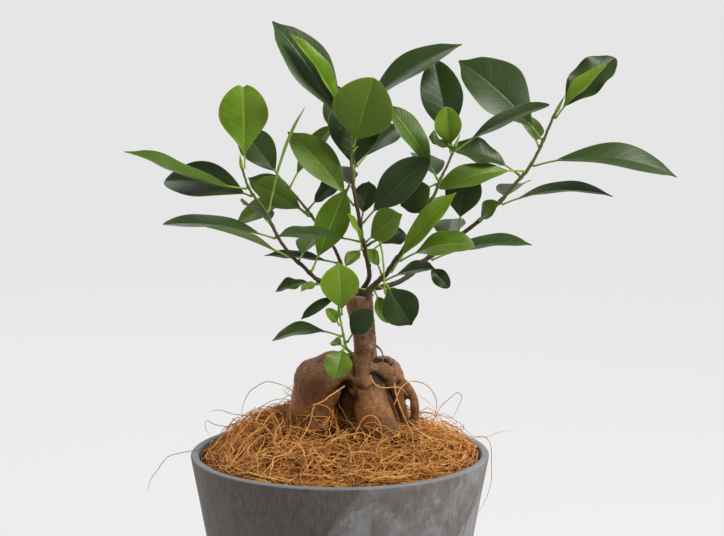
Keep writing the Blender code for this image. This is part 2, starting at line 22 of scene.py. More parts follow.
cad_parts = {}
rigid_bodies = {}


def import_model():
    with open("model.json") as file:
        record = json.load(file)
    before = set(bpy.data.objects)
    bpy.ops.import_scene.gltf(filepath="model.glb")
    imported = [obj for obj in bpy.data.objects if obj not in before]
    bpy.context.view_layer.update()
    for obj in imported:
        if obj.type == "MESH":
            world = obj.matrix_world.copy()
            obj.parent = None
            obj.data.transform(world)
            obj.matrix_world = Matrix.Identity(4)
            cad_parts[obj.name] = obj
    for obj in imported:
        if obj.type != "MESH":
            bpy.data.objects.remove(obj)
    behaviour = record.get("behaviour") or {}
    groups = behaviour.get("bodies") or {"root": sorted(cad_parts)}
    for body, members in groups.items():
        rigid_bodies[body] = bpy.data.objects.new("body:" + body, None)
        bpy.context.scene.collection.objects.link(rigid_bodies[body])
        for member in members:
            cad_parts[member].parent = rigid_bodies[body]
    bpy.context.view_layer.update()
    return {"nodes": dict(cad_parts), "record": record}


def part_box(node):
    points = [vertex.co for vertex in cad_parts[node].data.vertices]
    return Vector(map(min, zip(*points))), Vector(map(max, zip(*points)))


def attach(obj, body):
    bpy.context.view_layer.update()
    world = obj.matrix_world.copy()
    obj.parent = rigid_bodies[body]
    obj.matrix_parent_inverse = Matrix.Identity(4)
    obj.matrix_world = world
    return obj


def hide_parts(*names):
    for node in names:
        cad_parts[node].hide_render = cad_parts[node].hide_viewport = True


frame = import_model()

MM = 0.001
BODY = "root"
LOG = logging.getLogger("bonsai")

Colour = tuple[float, float, float]


# --- Node building ---------------------------------------------------------------------------


class Bench:
    """Lays nodes in one tree and joins them."""

    def __init__(self, tree: bpy.types.NodeTree) -> None:
        """Keeps the tree to work on."""
        self.tree = tree

    def node(self, kind: str, inputs: Mapping | None = None, **settings: object) -> bpy.types.Node:
        """Adds a node.

        Args:
            kind: the node's type name.
            inputs: values or sockets, by the input's name or number.
            settings: the node's own properties.

        Returns:
            The new node.
        """
        made = self.tree.nodes.new(kind)
        for name, value in settings.items():
            setattr(made, name, value)
        for key, value in (inputs or {}).items():
            self.feed(made, key, value)
        return made

    def feed(self, made: bpy.types.Node, key: str | int, value: object) -> None:
        """Joins a socket to a node's input, or sets the input's value.

        Args:
            made: the node.
            key: the input's name or number.
            value: a socket, a number or a colour.
        """
        if isinstance(key, int):
            socket = made.inputs[key]
        else:
            socket = next(s for s in made.inputs if s.name == key and s.enabled)
        if isinstance(value, bpy.types.NodeSocket):
            self.tree.links.new(value, socket)
        elif isinstance(value, tuple) and len(value) == 3 and socket.type == "RGBA":
            socket.default_value = (*value, 1.0)
        else:
            socket.default_value = value

    def out(self, made: bpy.types.Node, name: str = "") -> bpy.types.NodeSocket:
        """The node's output of that name, or its first one in use."""
        return next(s for s in made.outputs if s.enabled and name in ("", s.name))

    def math(self, operation: str, a: object, b: object = 0.0, c: object = 0.0) -> bpy.types.NodeSocket:
        """A Math node's result."""
        return self.out(self.node("ShaderNodeMath", {0: a, 1: b, 2: c}, operation=operation))

    def times(self, a: object, b: object) -> bpy.types.NodeSocket:
        """The product of two values."""
        return self.math("MULTIPLY", a, b)

    def plus(self, a: object, b: object) -> bpy.types.NodeSocket:
        """The sum of two values."""
        return self.math("ADD", a, b)

    def vector(self, operation: str, a: object, b: object = (0.0, 0.0, 0.0), scale: object = 1.0,
               out: str = "") -> bpy.types.NodeSocket:
        """A Vector Math node's result; scale is used by SCALE alone."""
        feeds = {0: a, 3: scale} if operation == "SCALE" else {0: a, 1: b}
        return self.out(self.node("ShaderNodeVectorMath", feeds, operation=operation), out)

    def mix(self, share: object, low: object, high: object) -> bpy.types.NodeSocket:
        """A colour between low and high, by a share from 0 to 1."""
        return self.node("ShaderNodeMix", {0: share, 6: low, 7: high}, data_type="RGBA").outputs[2]

    def tint(self, skin: object, colour: object, where: object, most: float) -> bpy.types.NodeSocket:
        """The skin with a colour over it, at a share of most where the mask is 1."""
        return self.mix(self.times(where, most), skin, colour)

    def smooth(self, value: object, low: float, high: float, start: float = 0.0,
               end: float = 1.0) -> bpy.types.NodeSocket:
        """The value's place between low and high, eased, as a number from start to end."""
        return self.node("ShaderNodeMapRange", {0: value, 1: low, 2: high, 3: start, 4: end},
                         interpolation_type="SMOOTHSTEP").outputs[0]

    def noise(self, vector: object, scale: float, detail: float = 3.0, roughness: float = 0.55,
              distortion: float = 0.0, out: str = "") -> bpy.types.NodeSocket:
        """A Noise Texture's result."""
        made = self.node("ShaderNodeTexNoise", {"Vector": vector, "Scale": scale, "Detail": detail,
                                                "Roughness": roughness, "Distortion": distortion})
        return self.out(made, out)

    def cells(self, vector: object, scale: float, out: str = "Distance") -> bpy.types.NodeSocket:
        """A Voronoi Texture's result."""
        return self.out(self.node("ShaderNodeTexVoronoi", {"Vector": vector, "Scale": scale}), out)

    def stretched(self, vector: object, scale: tuple[float, float, float],
                  turn: tuple[float, float, float] = (0.0, 0.0, 0.0)) -> bpy.types.NodeSocket:
        """The vector turned and scaled by a Mapping node."""
        return self.out(self.node("ShaderNodeMapping", {"Vector": vector, "Rotation": turn,
                                                        "Scale": scale}))

    def parts(self, vector: object) -> tuple[bpy.types.NodeSocket, ...]:
        """The vector's X, Y and Z."""
        return tuple(self.node("ShaderNodeSeparateXYZ", {0: vector}).outputs)


class Paint(Bench):
    """One material: nodes that end in a Principled BSDF."""

    def __init__(self, name: str, **constants: object) -> None:
        """Starts a material.

        Args:
            name: the material's name.
            constants: values of the shader's own inputs, with _ for a space.
        """
        self.material = bpy.data.materials.new(name)
        self.material.use_nodes = True
        super().__init__(self.material.node_tree)
        self.tree.nodes.clear()
        self.shader = self.node("ShaderNodeBsdfPrincipled")
        for key, value in constants.items():
            self.feed(self.shader, key.replace("_", " "), value)
        self.node("ShaderNodeOutputMaterial", {"Surface": self.out(self.shader)})

    def place(self) -> bpy.types.NodeSocket:
        """Object coordinates."""
        return self.out(self.node("ShaderNodeTexCoord"), "Object")

    def attribute(self, name: str, out: str = "Fac") -> bpy.types.NodeSocket:
        """An attribute of the mesh."""
        return self.out(self.node("ShaderNodeAttribute", attribute_name=name), out)

    def finish(self, colour: object, roughness: object, height: object = None,
               relief: float = 0.0) -> bpy.types.Material:
        """Joins colour, roughness and relief to the shader.

        Args:
            colour: the base colour.
            roughness: the roughness.
            height: a height from 0 to 1, or None for a smooth surface.
            relief: what a height of 1 stands for, in metres.

        Returns:
            The material.
        """
        self.feed(self.shader, "Base Color", colour)
        self.feed(self.shader, "Roughness", roughness)
        if height is not None:
            bump = self.node("ShaderNodeBump", {"Height": height, "Distance": relief, "Strength": 1.0})
            self.feed(self.shader, "Normal", self.out(bump))
        return self.material


# --- Finishes --------------------------------------------------------------------------------


class LeafAge(Enum):
    """How old a leaf is; the value is its slot in the record."""

    MATURE = "leaf_mature"
    MEDIUM = "leaf_medium"
    YOUNG = "leaf_young"


@dataclass(frozen=True)
class LeafFinish:
    """A leaf's skin. Colours follow the blade's own map: u along it, v across it."""

    age: LeafAge
    shade: Colour
    light: Colour
    under: Colour
    vein: Colour
    rim: Colour
    stalk: Colour
    roughness: float
    glow: float
    vein_pairs: float = 9.0
    vein_slant: float = 0.2

    def material(self) -> bpy.types.Material:
        """Builds the material.

        Returns:
            The material.
        """
        paint = Paint(self.age.value, Specular_IOR_Level=0.3, Subsurface_Weight=self.glow,
                      Subsurface_Scale=0.0015)
        place = paint.place()
        along, across, _ = paint.parts(paint.out(paint.node("ShaderNodeUVMap", uv_map="blade")))
        side = paint.math("ABSOLUTE", paint.math("MULTIPLY_ADD", across, 2.0, -1.0))
        tone = paint.attribute("tone")
        patches = paint.noise(place, 70.0, 3.0, 0.6, 0.4)
        fine = paint.noise(place, 900.0, 2.0)
        skin = paint.mix(paint.smooth(paint.plus(patches, tone), 0.35, 1.35), self.shade, self.light)
        slanted = paint.math("SUBTRACT", along, paint.times(side, self.vein_slant))
        phase = paint.plus(paint.times(slanted, self.vein_pairs), paint.times(patches, 0.35))
        near_vein = paint.math("ABSOLUTE", paint.math("SUBTRACT", paint.math("FRACT", phase), 0.5))
        vein = paint.times(paint.smooth(near_vein, 0.10, 0.0), paint.smooth(side, 1.0, 0.5))
        midrib = paint.smooth(side, 0.055, 0.015)
        skin = paint.tint(skin, self.vein, vein, 0.12)
        skin = paint.tint(skin, self.vein, midrib, 0.75)
        skin = paint.tint(skin, self.rim, paint.smooth(side, 0.955, 0.995), 0.7)
        below = paint.tint(self.under, self.vein, vein, 0.25)
        below = paint.mix(midrib, below, self.stalk)
        skin = paint.mix(paint.attribute("under"), skin, below)
        skin = paint.mix(paint.attribute("stalk"), skin, self.stalk)
        skin = paint.tint(skin, self.rim, paint.smooth(fine, 0.62, 0.72), 0.12)
        relief = paint.plus(paint.times(vein, -0.5), paint.times(fine, 0.3))
        rough = paint.plus(paint.times(patches, 0.18), self.roughness - 0.09)
        rough = paint.plus(rough, paint.times(paint.attribute("under"), 0.2))
        return paint.finish(skin, rough, relief, 0.00012)


LEAF_FINISHES = (
    LeafFinish(LeafAge.MATURE, (0.018, 0.041, 0.008), (0.036, 0.069, 0.013), (0.11, 0.18, 0.05),
               (0.070, 0.125, 0.025), (0.16, 0.26, 0.04), (0.24, 0.36, 0.05), 0.40, 0.03),
    LeafFinish(LeafAge.MEDIUM, (0.064, 0.132, 0.008), (0.125, 0.215, 0.015), (0.20, 0.32, 0.06),
               (0.22, 0.36, 0.05), (0.28, 0.43, 0.07), (0.30, 0.44, 0.05), 0.42, 0.08),
    LeafFinish(LeafAge.YOUNG, (0.095, 0.205, 0.007), (0.205, 0.355, 0.019), (0.28, 0.43, 0.08),
               (0.32, 0.50, 0.07), (0.38, 0.56, 0.09), (0.36, 0.52, 0.06), 0.42, 0.14),
)


@dataclass(frozen=True)
class TwigFinish:
    """Young bark, darker and woodier at the foot and greener towards the tip."""

    name: str
    wood: Colour
    green: Colour
    fleck: Colour
    greening: float

    def material(self) -> bpy.types.Material:
        """Builds the material.

        Returns:
            The material.
        """
        paint = Paint(self.name, Specular_IOR_Level=0.4)
        place = paint.place()
        age = paint.attribute("age")
        mottle = paint.noise(place, 260.0, 4.0, 0.65)
        turned = paint.smooth(paint.plus(age, paint.times(mottle, 0.3)), self.greening,
                              self.greening + 0.35)
        skin = paint.mix(turned, self.wood, self.green)
        specks = paint.cells(paint.stretched(place, (1.0, 1.0, 0.45)), 620.0)
        skin = paint.tint(skin, self.fleck, paint.smooth(specks, 0.22, 0.12), 0.6)
        skin = paint.tint(skin, tuple(c * 0.45 for c in self.wood), paint.smooth(mottle, 0.5, 0.3), 0.5)
        height = paint.plus(mottle, paint.times(paint.smooth(specks, 0.3, 0.1), 0.4))
        return paint.finish(skin, paint.smooth(mottle, 0.3, 0.7, 0.5, 0.68), height, 0.00025)


TWIG_FINISHES = (
    TwigFinish("bark_young", (0.085, 0.048, 0.025), (0.13, 0.14, 0.030), (0.24, 0.16, 0.09), 0.62),
    TwigFinish("stem_green", (0.16, 0.21, 0.035), (0.30, 0.42, 0.06), (0.34, 0.40, 0.13), 0.25),
)


@dataclass(frozen=True)
class BarkFinish:
    """The trunk's scratchy pale bark, with a painted highlight down its right side, and below it the
    smoother, redder skin of the roots, with painted shade in their creases.
    """

    trunk: Colour = (0.32, 0.165, 0.090)
    trunk_dark: Colour = (0.120, 0.055, 0.028)
    root: Colour = (0.180, 0.074, 0.023)
    root_warm: Colour = (0.37, 0.155, 0.042)
    root_mottle_and_shade: Colour = (0.028, 0.013, 0.007)
    scratch: Colour = (0.60, 0.42, 0.28)
    cut_wood: Colour = (0.30, 0.20, 0.12)
    crown_height: float = 0.244
    crown_blend: float = 0.024

    def material(self) -> bpy.types.Material:
        """Builds the material.

        Returns:
            The material.
        """
        paint = Paint("bark", Specular_IOR_Level=0.35)
        place = paint.place()
        right, _, high = paint.parts(place)
        broad = paint.noise(place, 55.0, 4.0, 0.6, 0.5)
        fine = paint.noise(place, 420.0, 4.0, 0.7)
        rings = paint.noise(paint.stretched(place, (330.0, 330.0, 260.0)), 1.0, 5.0, 0.75, 0.6)
        strands = paint.noise(paint.stretched(place, (700.0, 700.0, 60.0)), 1.0, 3.0, 0.6)
        root = paint.mix(paint.smooth(broad, 0.40, 0.66), self.root, self.root_warm)
        root = paint.tint(root, self.root_mottle_and_shade, paint.smooth(fine, 0.55, 0.35), 0.35)
        trunk = paint.mix(paint.smooth(rings, 0.35, 0.62), self.trunk_dark, self.trunk)
        trunk = paint.tint(trunk, self.root_warm, paint.smooth(broad, 0.60, 0.38), 0.4)
        above = paint.plus(high, paint.times(broad, 0.02))
        start = self.crown_height - self.crown_blend / 2
        up = paint.smooth(above, start, start + self.crown_blend)
        skin = paint.mix(up, root, trunk)
        dashes = paint.cells(paint.stretched(place, (240.0, 240.0, 900.0)), 1.0)
        dash = paint.times(paint.smooth(dashes, 0.30, 0.14), paint.smooth(fine, 0.42, 0.58))
        dash = paint.times(dash, paint.smooth(up, -0.4, 1.0))
        streak = paint.times(paint.smooth(strands, 0.60, 0.70), paint.smooth(broad, 0.42, 0.6))
        pale = paint.math("MAXIMUM", dash, paint.times(streak, 0.45))
        # painted highlight: pale patches, broken up by the ring noise, on the trunk's right side where
        # the light falls
        painted_lit_side = paint.times(paint.smooth(right, 0.010, 0.020), paint.smooth(rings, 0.46, 0.62))
        pale = paint.math("MAXIMUM", pale, paint.times(paint.times(painted_lit_side, up), 0.6))
        # the scratch colour goes on real scratches and streaks, and on the painted highlight of the right
        # side
        skin = paint.tint(skin, self.scratch, pale, 0.75)
        # painted shade: the deeper a crease, the darker the skin, up to the dark root colour
        crease_shade = paint.smooth(paint.attribute("crease"), 0.04, 0.5, 0.0, 0.95)
        skin = paint.mix(crease_shade, skin, self.root_mottle_and_shade)
        skin = paint.mix(paint.attribute("sawn"), skin, self.cut_wood)
        height = paint.plus(paint.times(rings, 0.8), paint.times(fine, 0.6))
        height = paint.plus(height, paint.times(pale, 0.3))
        rough = paint.math("SUBTRACT", 0.74, paint.times(paint.smooth(up, 1.0, 0.0), 0.26))
        return paint.finish(skin, rough, height, 0.0008)


@dataclass(frozen=True)
class CoirFinish:
    """Coconut fibre: each strand's own shade, dark brown to pale gold, darker low in the pile as painted
    shade.
    """

    dark: Colour = (0.115, 0.036, 0.008)
    gold: Colour = (0.54, 0.215, 0.038)
    pale: Colour = (0.92, 0.50, 0.135)

    def material(self) -> bpy.types.Material:
        """Builds the strands' material.

        Returns:
            The material.
        """
        paint = Paint("coir", Specular_IOR_Level=0.3, Sheen_Weight=0.15, Sheen_Roughness=0.5)
        place = paint.place()
        mottle = paint.math("SUBTRACT", paint.noise(place, 240.0, 2.0), 0.5)
        shade = paint.plus(paint.attribute("shade"), paint.times(mottle, 0.5))
        skin = paint.mix(paint.smooth(shade, 0.0, 0.5), self.dark, self.gold)
        skin = paint.mix(paint.smooth(shade, 0.5, 1.0), skin, self.pale)
        return paint.finish(skin, 0.62, paint.noise(place, 1600.0, 1.0), 0.0001)

    def bed_material(self) -> bpy.types.Material:
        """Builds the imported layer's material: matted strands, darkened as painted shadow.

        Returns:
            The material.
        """
        paint = Paint("coir_matted", Specular_IOR_Level=0.2)
        place = paint.place()
        warp = paint.noise(place, 60.0, 2.0, out="Color")
        bent = paint.vector("ADD", place, paint.vector("SCALE", warp, scale=0.02))
        one = paint.noise(paint.stretched(bent, (900.0, 90.0, 300.0)), 1.0, 2.0)
        two = paint.noise(paint.stretched(bent, (90.0, 900.0, 300.0), (0.0, 0.0, 0.6)), 1.0, 2.0)
        strand = paint.math("MAXIMUM", one, two)
        # painted shadow: the fibre colours cut to 15% and 25%, a dark bed where the loose fibres shade it
        skin = paint.mix(paint.smooth(strand, 0.45, 0.7), tuple(c * 0.15 for c in self.dark),
                         tuple(c * 0.25 for c in self.gold))
        return paint.finish(skin, 0.8, strand, 0.0012)


@dataclass(frozen=True)
class PotFinish:
    """Matt grey composite: fine upright streaks, and pale marbled patches at the front."""

    body: Colour = (0.175, 0.150, 0.138)
    deep: Colour = (0.100, 0.088, 0.082)
    patch: Colour = (0.300, 0.290, 0.300)
    scratch: Colour = (0.44, 0.44, 0.46)
    rust: Colour = (0.17, 0.10, 0.06)
    lip: Colour = (0.26, 0.29, 0.32)
    lip_highlight_height: float = 0.1788
    lip_highlight_blend: float = 0.0006
    border_slope: float = -0.65
    border_start: float = -0.100
    border_width: float = 0.005

    def streaked(self, paint: Paint, place: bpy.types.NodeSocket) -> bpy.types.NodeSocket:
        """The plain side: fine upright streaks.

        Args:
            paint: the pot's material.
            place: object coordinates.

        Returns:
            The side's colour.
        """
        fine = paint.noise(paint.stretched(place, (900.0, 900.0, 14.0)), 1.0, 3.0, 0.7)
        broad = paint.noise(paint.stretched(place, (120.0, 120.0, 9.0)), 1.0, 3.0, 0.6)
        skin = paint.mix(paint.smooth(fine, 0.30, 0.70), self.deep, self.body)
        skin = paint.tint(skin, self.deep, paint.smooth(broad, 0.50, 0.36), 0.5)
        return paint.tint(skin, self.rust, paint.smooth(broad, 0.66, 0.74), 0.4)

    def marbled(self, paint: Paint, place: bpy.types.NodeSocket) -> bpy.types.NodeSocket:
        """The stony side: angular clouded patches, with pale scratches across them.

        Args:
            paint: the pot's material.
            place: object coordinates.

        Returns:
            The side's colour.
        """
        warp = paint.vector("SCALE", paint.noise(place, 45.0, 4.0, 0.65, out="Color"), scale=0.016)
        bent = paint.vector("ADD", place, warp)
        slabs = paint.stretched(bent, (60.0, 60.0, 42.0), (0.0, 0.6, 0.0))
        grey, _, _ = paint.parts(paint.cells(slabs, 1.0, out="Color"))
        cloud = paint.noise(bent, 60.0, 5.0, 0.7)
        skin = paint.mix(paint.smooth(paint.math("MULTIPLY_ADD", grey, 0.35, cloud), 0.42, 0.95),
                         self.body, self.patch)
        slanted = paint.stretched(bent, (210.0, 210.0, 70.0), (0.0, 0.8, 0.0))
        strokes = paint.noise(slanted, 1.0, 6.0, 0.8)
        skin = paint.tint(skin, self.scratch, paint.smooth(strokes, 0.54, 0.68), 0.55)
        return paint.tint(skin, self.deep, paint.smooth(strokes, 0.46, 0.32), 0.7)

    def material(self) -> bpy.types.Material:
        """Builds the material.

        Returns:
            The material.
        """
        paint = Paint("pot", Specular_IOR_Level=0.3)
        place = paint.place()
        right, _, high = paint.parts(place)
        grit = paint.noise(place, 1500.0, 2.0, 0.7)
        ragged = paint.noise(place, 60.0, 4.0, 0.6)
        border = paint.math("MULTIPLY_ADD", high, self.border_slope, right)
        border = paint.math("MULTIPLY_ADD", ragged, 0.012, border)
        stony = paint.smooth(border, self.border_start, self.border_start + self.border_width)
        skin = paint.mix(stony, self.streaked(paint, place), self.marbled(paint, place))
        skin = paint.tint(skin, self.scratch, paint.smooth(grit, 0.66, 0.74), 0.3)
        # painted highlight: a thin bluish pale line along the top of the lip, where the light catches it
        edge = paint.smooth(high, self.lip_highlight_height, self.lip_highlight_height + self.lip_highlight_blend)
        skin = paint.tint(skin, self.lip, edge, 0.6)
        height = paint.math("MULTIPLY_ADD", ragged, 0.5, grit)
        return paint.finish(skin, paint.smooth(ragged, 0.3, 0.7, 0.66, 0.52), height, 0.00015)


def soil_material() -> bpy.types.Material:
    """Dark crumbly earth.

    Returns:
        The material.
    """
    paint = Paint("soil", Specular_IOR_Level=0.2)
    place = paint.place()
    crumbs = paint.cells(place, 420.0)
    broad = paint.noise(place, 130.0, 4.0, 0.7)
    skin = paint.mix(paint.smooth(crumbs, 0.1, 0.6), (0.070, 0.045, 0.030), (0.018, 0.012, 0.008))
    skin = paint.tint(skin, (0.13, 0.08, 0.045), paint.smooth(broad, 0.55, 0.75), 0.5)
    return paint.finish(skin, 0.92, paint.math("SUBTRACT", broad, crumbs), 0.0016)


def paper_material(name: str, colour: Colour, glow: float) -> bpy.types.Material:
    """Studio paper with a trace of mottle, lit from behind the plant.

    Args:
        name: the material's name.
        colour: the colour.
        glow: how much light of its own it gives at the back; the front gives a quarter of it.

    Returns:
        The material.
    """
    paint = Paint(name, Specular_IOR_Level=0.0, Emission_Color=(1.0, 1.0, 1.0))
    place = paint.place()
    mottle = paint.noise(place, 4.0, 3.0)
    _, back, _ = paint.parts(place)
    lit = paint.times(paint.smooth(back, -0.8, 0.45, 0.25, 1.0), glow)
    paint.feed(paint.shader, "Emission Strength", lit)
    return paint.finish(paint.mix(mottle, tuple(c * 0.985 for c in colour), colour), 0.9)


# --- Shared shapes ---------------------------------------------------------------------------


class Path:
    """A smooth line through points, measured by its own length; STEP is half a direction's span."""

    STEP = 0.004

    def __init__(self, points: Sequence[Vector], steps: int = 8) -> None:
        """Runs a Catmull-Rom curve through the points.

        Args:
            points: the points, in order.
            steps: how many short spans stand for each stretch.
        """
        ends = [points[0] * 2 - points[1], *points, points[-1] * 2 - points[-2]]
        dense = []
        for a, b, c, d in zip(ends, ends[1:], ends[2:], ends[3:]):
            for k in range(steps):
                t = k / steps
                dense.append(0.5 * (2 * b + (c - a) * t + (2 * a - 5 * b + 4 * c - d) * t**2
                                    + (3 * b - a - 3 * c + d) * t**3))
        dense.append(points[-1])
        self.line = np.array([tuple(p) for p in dense])
        spans = np.linalg.norm(np.diff(self.line, axis=0), axis=1)
        self.marks = np.concatenate([[0.0], np.cumsum(spans)])
        self.length = float(self.marks[-1])
        self.knots = self.marks[::steps] / self.length

    def point(self, share: float) -> Vector:
        """The point at a share of the length; past the ends the line goes on straight.

        Args:
            share: the share, which may be below 0 or over 1.

        Returns:
            The point.
        """
        goal = share * self.length
        place = Vector([float(np.interp(goal, self.marks, self.line[:, k])) for k in range(3)])
        over = min(goal, 0.0) + max(goal - self.length, 0.0)
        return place + self.heading(min(max(share, 0.0), 1.0)) * over if over else place

    def heading(self, share: float) -> Vector:
        """The unit direction at a share of the length.

        Args:
            share: the share.

        Returns:
            The direction.
        """
        low, high = max(share - self.STEP, 0.0), min(share + self.STEP, 1.0)
        rows = [[float(np.interp(s * self.length, self.marks, self.line[:, k])) for k in range(3)]
                for s in (low, high)]
        return (Vector(rows[1]) - Vector(rows[0])).normalized()

    def nearest(self, spot: Vector) -> float:
        """The share of the length nearest to a spot."""
        apart = np.linalg.norm(self.line - np.array(tuple(spot)), axis=1)
        return float(self.marks[int(apart.argmin())] / self.length)


def rings_to_mesh(bm: bmesh.types.BMesh, rings: Sequence[Sequence[Vector]],
                  apex: Vector | None = None) -> list[list[bmesh.types.BMVert]]:
    """Skins rings of as many points each into one closed shell.

    Args:
        bm: the mesh to add to.
        rings: the rings, from the foot on.
        apex: a point that closes the far end, or None for a flat end.

    Returns:
        The new corners, ring by ring, with the apex as the last row if there is one.
    """
    rows = [[bm.verts.new(p) for p in ring] for ring in rings]
    count = len(rows[0])
    made = []
    for near, far in zip(rows, rows[1:]):
        for i in range(count):
            j = (i + 1) % count
            made.append(bm.faces.new((near[i], near[j], far[j], far[i])))
    made.append(bm.faces.new(rows[0][::-1]))
    if apex is None:
        made.append(bm.faces.new(rows[-1]))
    else:
        tip = bm.verts.new(apex)
        for i in range(count):
            made.append(bm.faces.new((rows[-1][i], rows[-1][(i + 1) % count], tip)))
        rows.append([tip])
    bmesh.ops.recalc_face_normals(bm, faces=made)
    return rows


def circle(centre: Vector, along: Vector, side: Vector, radius: float, count: int) -> list[Vector]:
    """Points round a centre, across a direction.

    Args:
        centre: the centre.
        along: the direction, a unit vector.
        side: where the first point lies.
        radius: how far out the points are.
        count: how many there are.

    Returns:
        The points.
    """
    across = (side - along * side.dot(along)).normalized()
    up = along.cross(across)
    turns = [math.tau * i / count for i in range(count)]
    return [centre + (across * math.cos(a) + up * math.sin(a)) * radius for a in turns]


def tube_rings(centres: Sequence[Vector], radii: Sequence[float], sides: int) -> list[list[Vector]]:
    """Rings of a tube along its centres, without twist.

    Args:
        centres: the middle line's points.
        radii: the radius at each.
        sides: points to a ring.

    Returns:
        The rings.
    """
    spans = [(b - a).normalized() for a, b in zip(centres, centres[1:])]
    headings = [spans[0], *[(a + b).normalized() for a, b in zip(spans, spans[1:])], spans[-1]]
    side = Vector((1, 0, 0)) if abs(headings[0].x) < 0.8 else Vector((0, 1, 0))
    rings = []
    for centre, along, radius in zip(centres, headings, radii):
        rings.append(circle(centre, along, side, radius, sides))
        side = rings[-1][0] - centre
    return rings


def level_ring(bm: bmesh.types.BMesh, radius: float,
               heights: Sequence[float]) -> list[bmesh.types.BMVert]:
    """A ring of new corners round the Z axis, each at its own height."""
    turns = [math.tau * i / len(heights) for i in range(len(heights))]
    return [bm.verts.new((radius * math.cos(a), radius * math.sin(a), h)) for a, h in zip(turns, heights)]


def skin_disc(bm: bmesh.types.BMesh, middle: bmesh.types.BMVert,
              rows: Sequence[Sequence[bmesh.types.BMVert]]) -> None:
    """Skins a disc: a fan round its middle, and bands from ring to ring.

    Args:
        bm: the mesh to add to.
        middle: the corner in the middle.
        rows: rings of as many corners each, from the middle out.
    """
    count = len(rows[0])
    for i in range(count):
        j = (i + 1) % count
        bm.faces.new((middle, rows[0][i], rows[0][j]))
        for near, far in zip(rows, rows[1:]):
            bm.faces.new((near[i], far[i], far[j], near[j]))


def mesh_from(bm: bmesh.types.BMesh, name: str) -> bpy.types.Mesh:
    """Turns a bmesh into a mesh.

    Args:
        bm: the bmesh, which is freed.
        name: the mesh's name.

    Returns:
        The mesh.
    """
    mesh = bpy.data.meshes.new(name)
    bm.to_mesh(mesh)
    bm.free()
    return mesh


def add_piece(name: str, mesh: bpy.types.Mesh, material: bpy.types.Material, slot: str,
              replaces: Iterable[str] = (), crisp: float = 50.0) -> bpy.types.Object:
    """Makes a finished mesh a piece of the plant.

    Args:
        name: the piece's name.
        mesh: its mesh, in its place.
        material: its finish.
        slot: the record's slot that the finish stands for.
        replaces: the CAD nodes that it stands for.
        crisp: edges sharper than this many degrees stay crisp.

    Returns:
        The object.
    """
    if not mesh.materials:
        mesh.materials.append(material)
    mesh.shade_smooth()
    mesh.set_sharp_from_angle(angle=math.radians(crisp))
    piece = bpy.data.objects.new(name, mesh)
    bpy.context.scene.collection.objects.link(piece)
    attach(piece, BODY)
    if replaces:
        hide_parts(*replaces)
    LOG.info("%s: %d faces, slot %s", name, len(mesh.polygons), slot)
    return piece


def merged_copy(node: str) -> bmesh.types.BMesh:
    """A copy of a CAD node's mesh with its corners joined.

    Args:
        node: the CAD node.

    Returns:
        The copy.
    """
    bm = bmesh.new()
    bm.from_mesh(frame["nodes"][node].data)
    bmesh.ops.remove_doubles(bm, verts=bm.verts, dist=1e-6)
    bm.verts.ensure_lookup_table()
    return bm


def evaluated(worked: bpy.types.Object, name: str) -> bpy.types.Mesh:
    """An object's mesh with its modifiers applied.

    Args:
        worked: the object, which is removed.
        name: the mesh's name.

    Returns:
        The mesh.
    """
    depsgraph = bpy.context.evaluated_depsgraph_get()
    mesh = bpy.data.meshes.new_from_object(worked.evaluated_get(depsgraph))
    mesh.name = name
    bpy.data.objects.remove(worked, do_unlink=True)
    return mesh


def bench_object(name: str, mesh: bpy.types.Mesh) -> bpy.types.Object:
    """A scratch object to put modifiers on.

    Args:
        name: its name.
        mesh: its mesh.

    Returns:
        The object.
    """
    made = bpy.data.objects.new(name, mesh)
    bpy.context.scene.collection.objects.link(made)
    return made


def remeshed(name: str, bm: bmesh.types.BMesh, voxel: float, smoothing: int) -> bpy.types.Mesh:
    """A closed skin of even small faces over a shape.

    Args:
        name: the mesh's name.
        bm: the shape, which is freed.
        voxel: the size of the faces.
        smoothing: how many rounds of smoothing follow.

    Returns:
        The mesh.
    """
    worked = bench_object(name, mesh_from(bm, name))
    melt = worked.modifiers.new("melt", "REMESH")
    melt.mode = "VOXEL"
    melt.voxel_size = voxel
    soften = worked.modifiers.new("soften", "SMOOTH")
    soften.factor = 0.5
    soften.iterations = smoothing
    return evaluated(worked, name)


def set_values(mesh: bpy.types.Mesh, name: str, values: Sequence[float]) -> None:
    """Stores one number for each corner of the mesh."""
    mesh.attributes.new(name, "FLOAT", "POINT").data.foreach_set("value", np.asarray(values, np.float32))


def corner_rows(mesh: bpy.types.Mesh, kind: str) -> np.ndarray:
    """One vector for each corner of a mesh.

    Args:
        mesh: the mesh.
        kind: the vector's name, such as co or normal.

    Returns:
        The vectors, a row each.
    """
    flat = np.empty(len(mesh.vertices) * 3, np.float32)
    mesh.vertices.foreach_get(kind, flat)
    return flat.reshape(-1, 3)


def corners(mesh: bpy.types.Mesh) -> np.ndarray:
    """The mesh's corners, a row each."""
    return corner_rows(mesh, "co")


def facings(mesh: bpy.types.Mesh) -> np.ndarray:
    """The unit normal at each corner, a row each."""
    return corner_rows(mesh, "normal")


def move_corners(mesh: bpy.types.Mesh, place: np.ndarray) -> None:
    """Puts the corners in new places, a row each."""
    mesh.vertices.foreach_set("co", np.ascontiguousarray(place, np.float32).ravel())
    mesh.update()


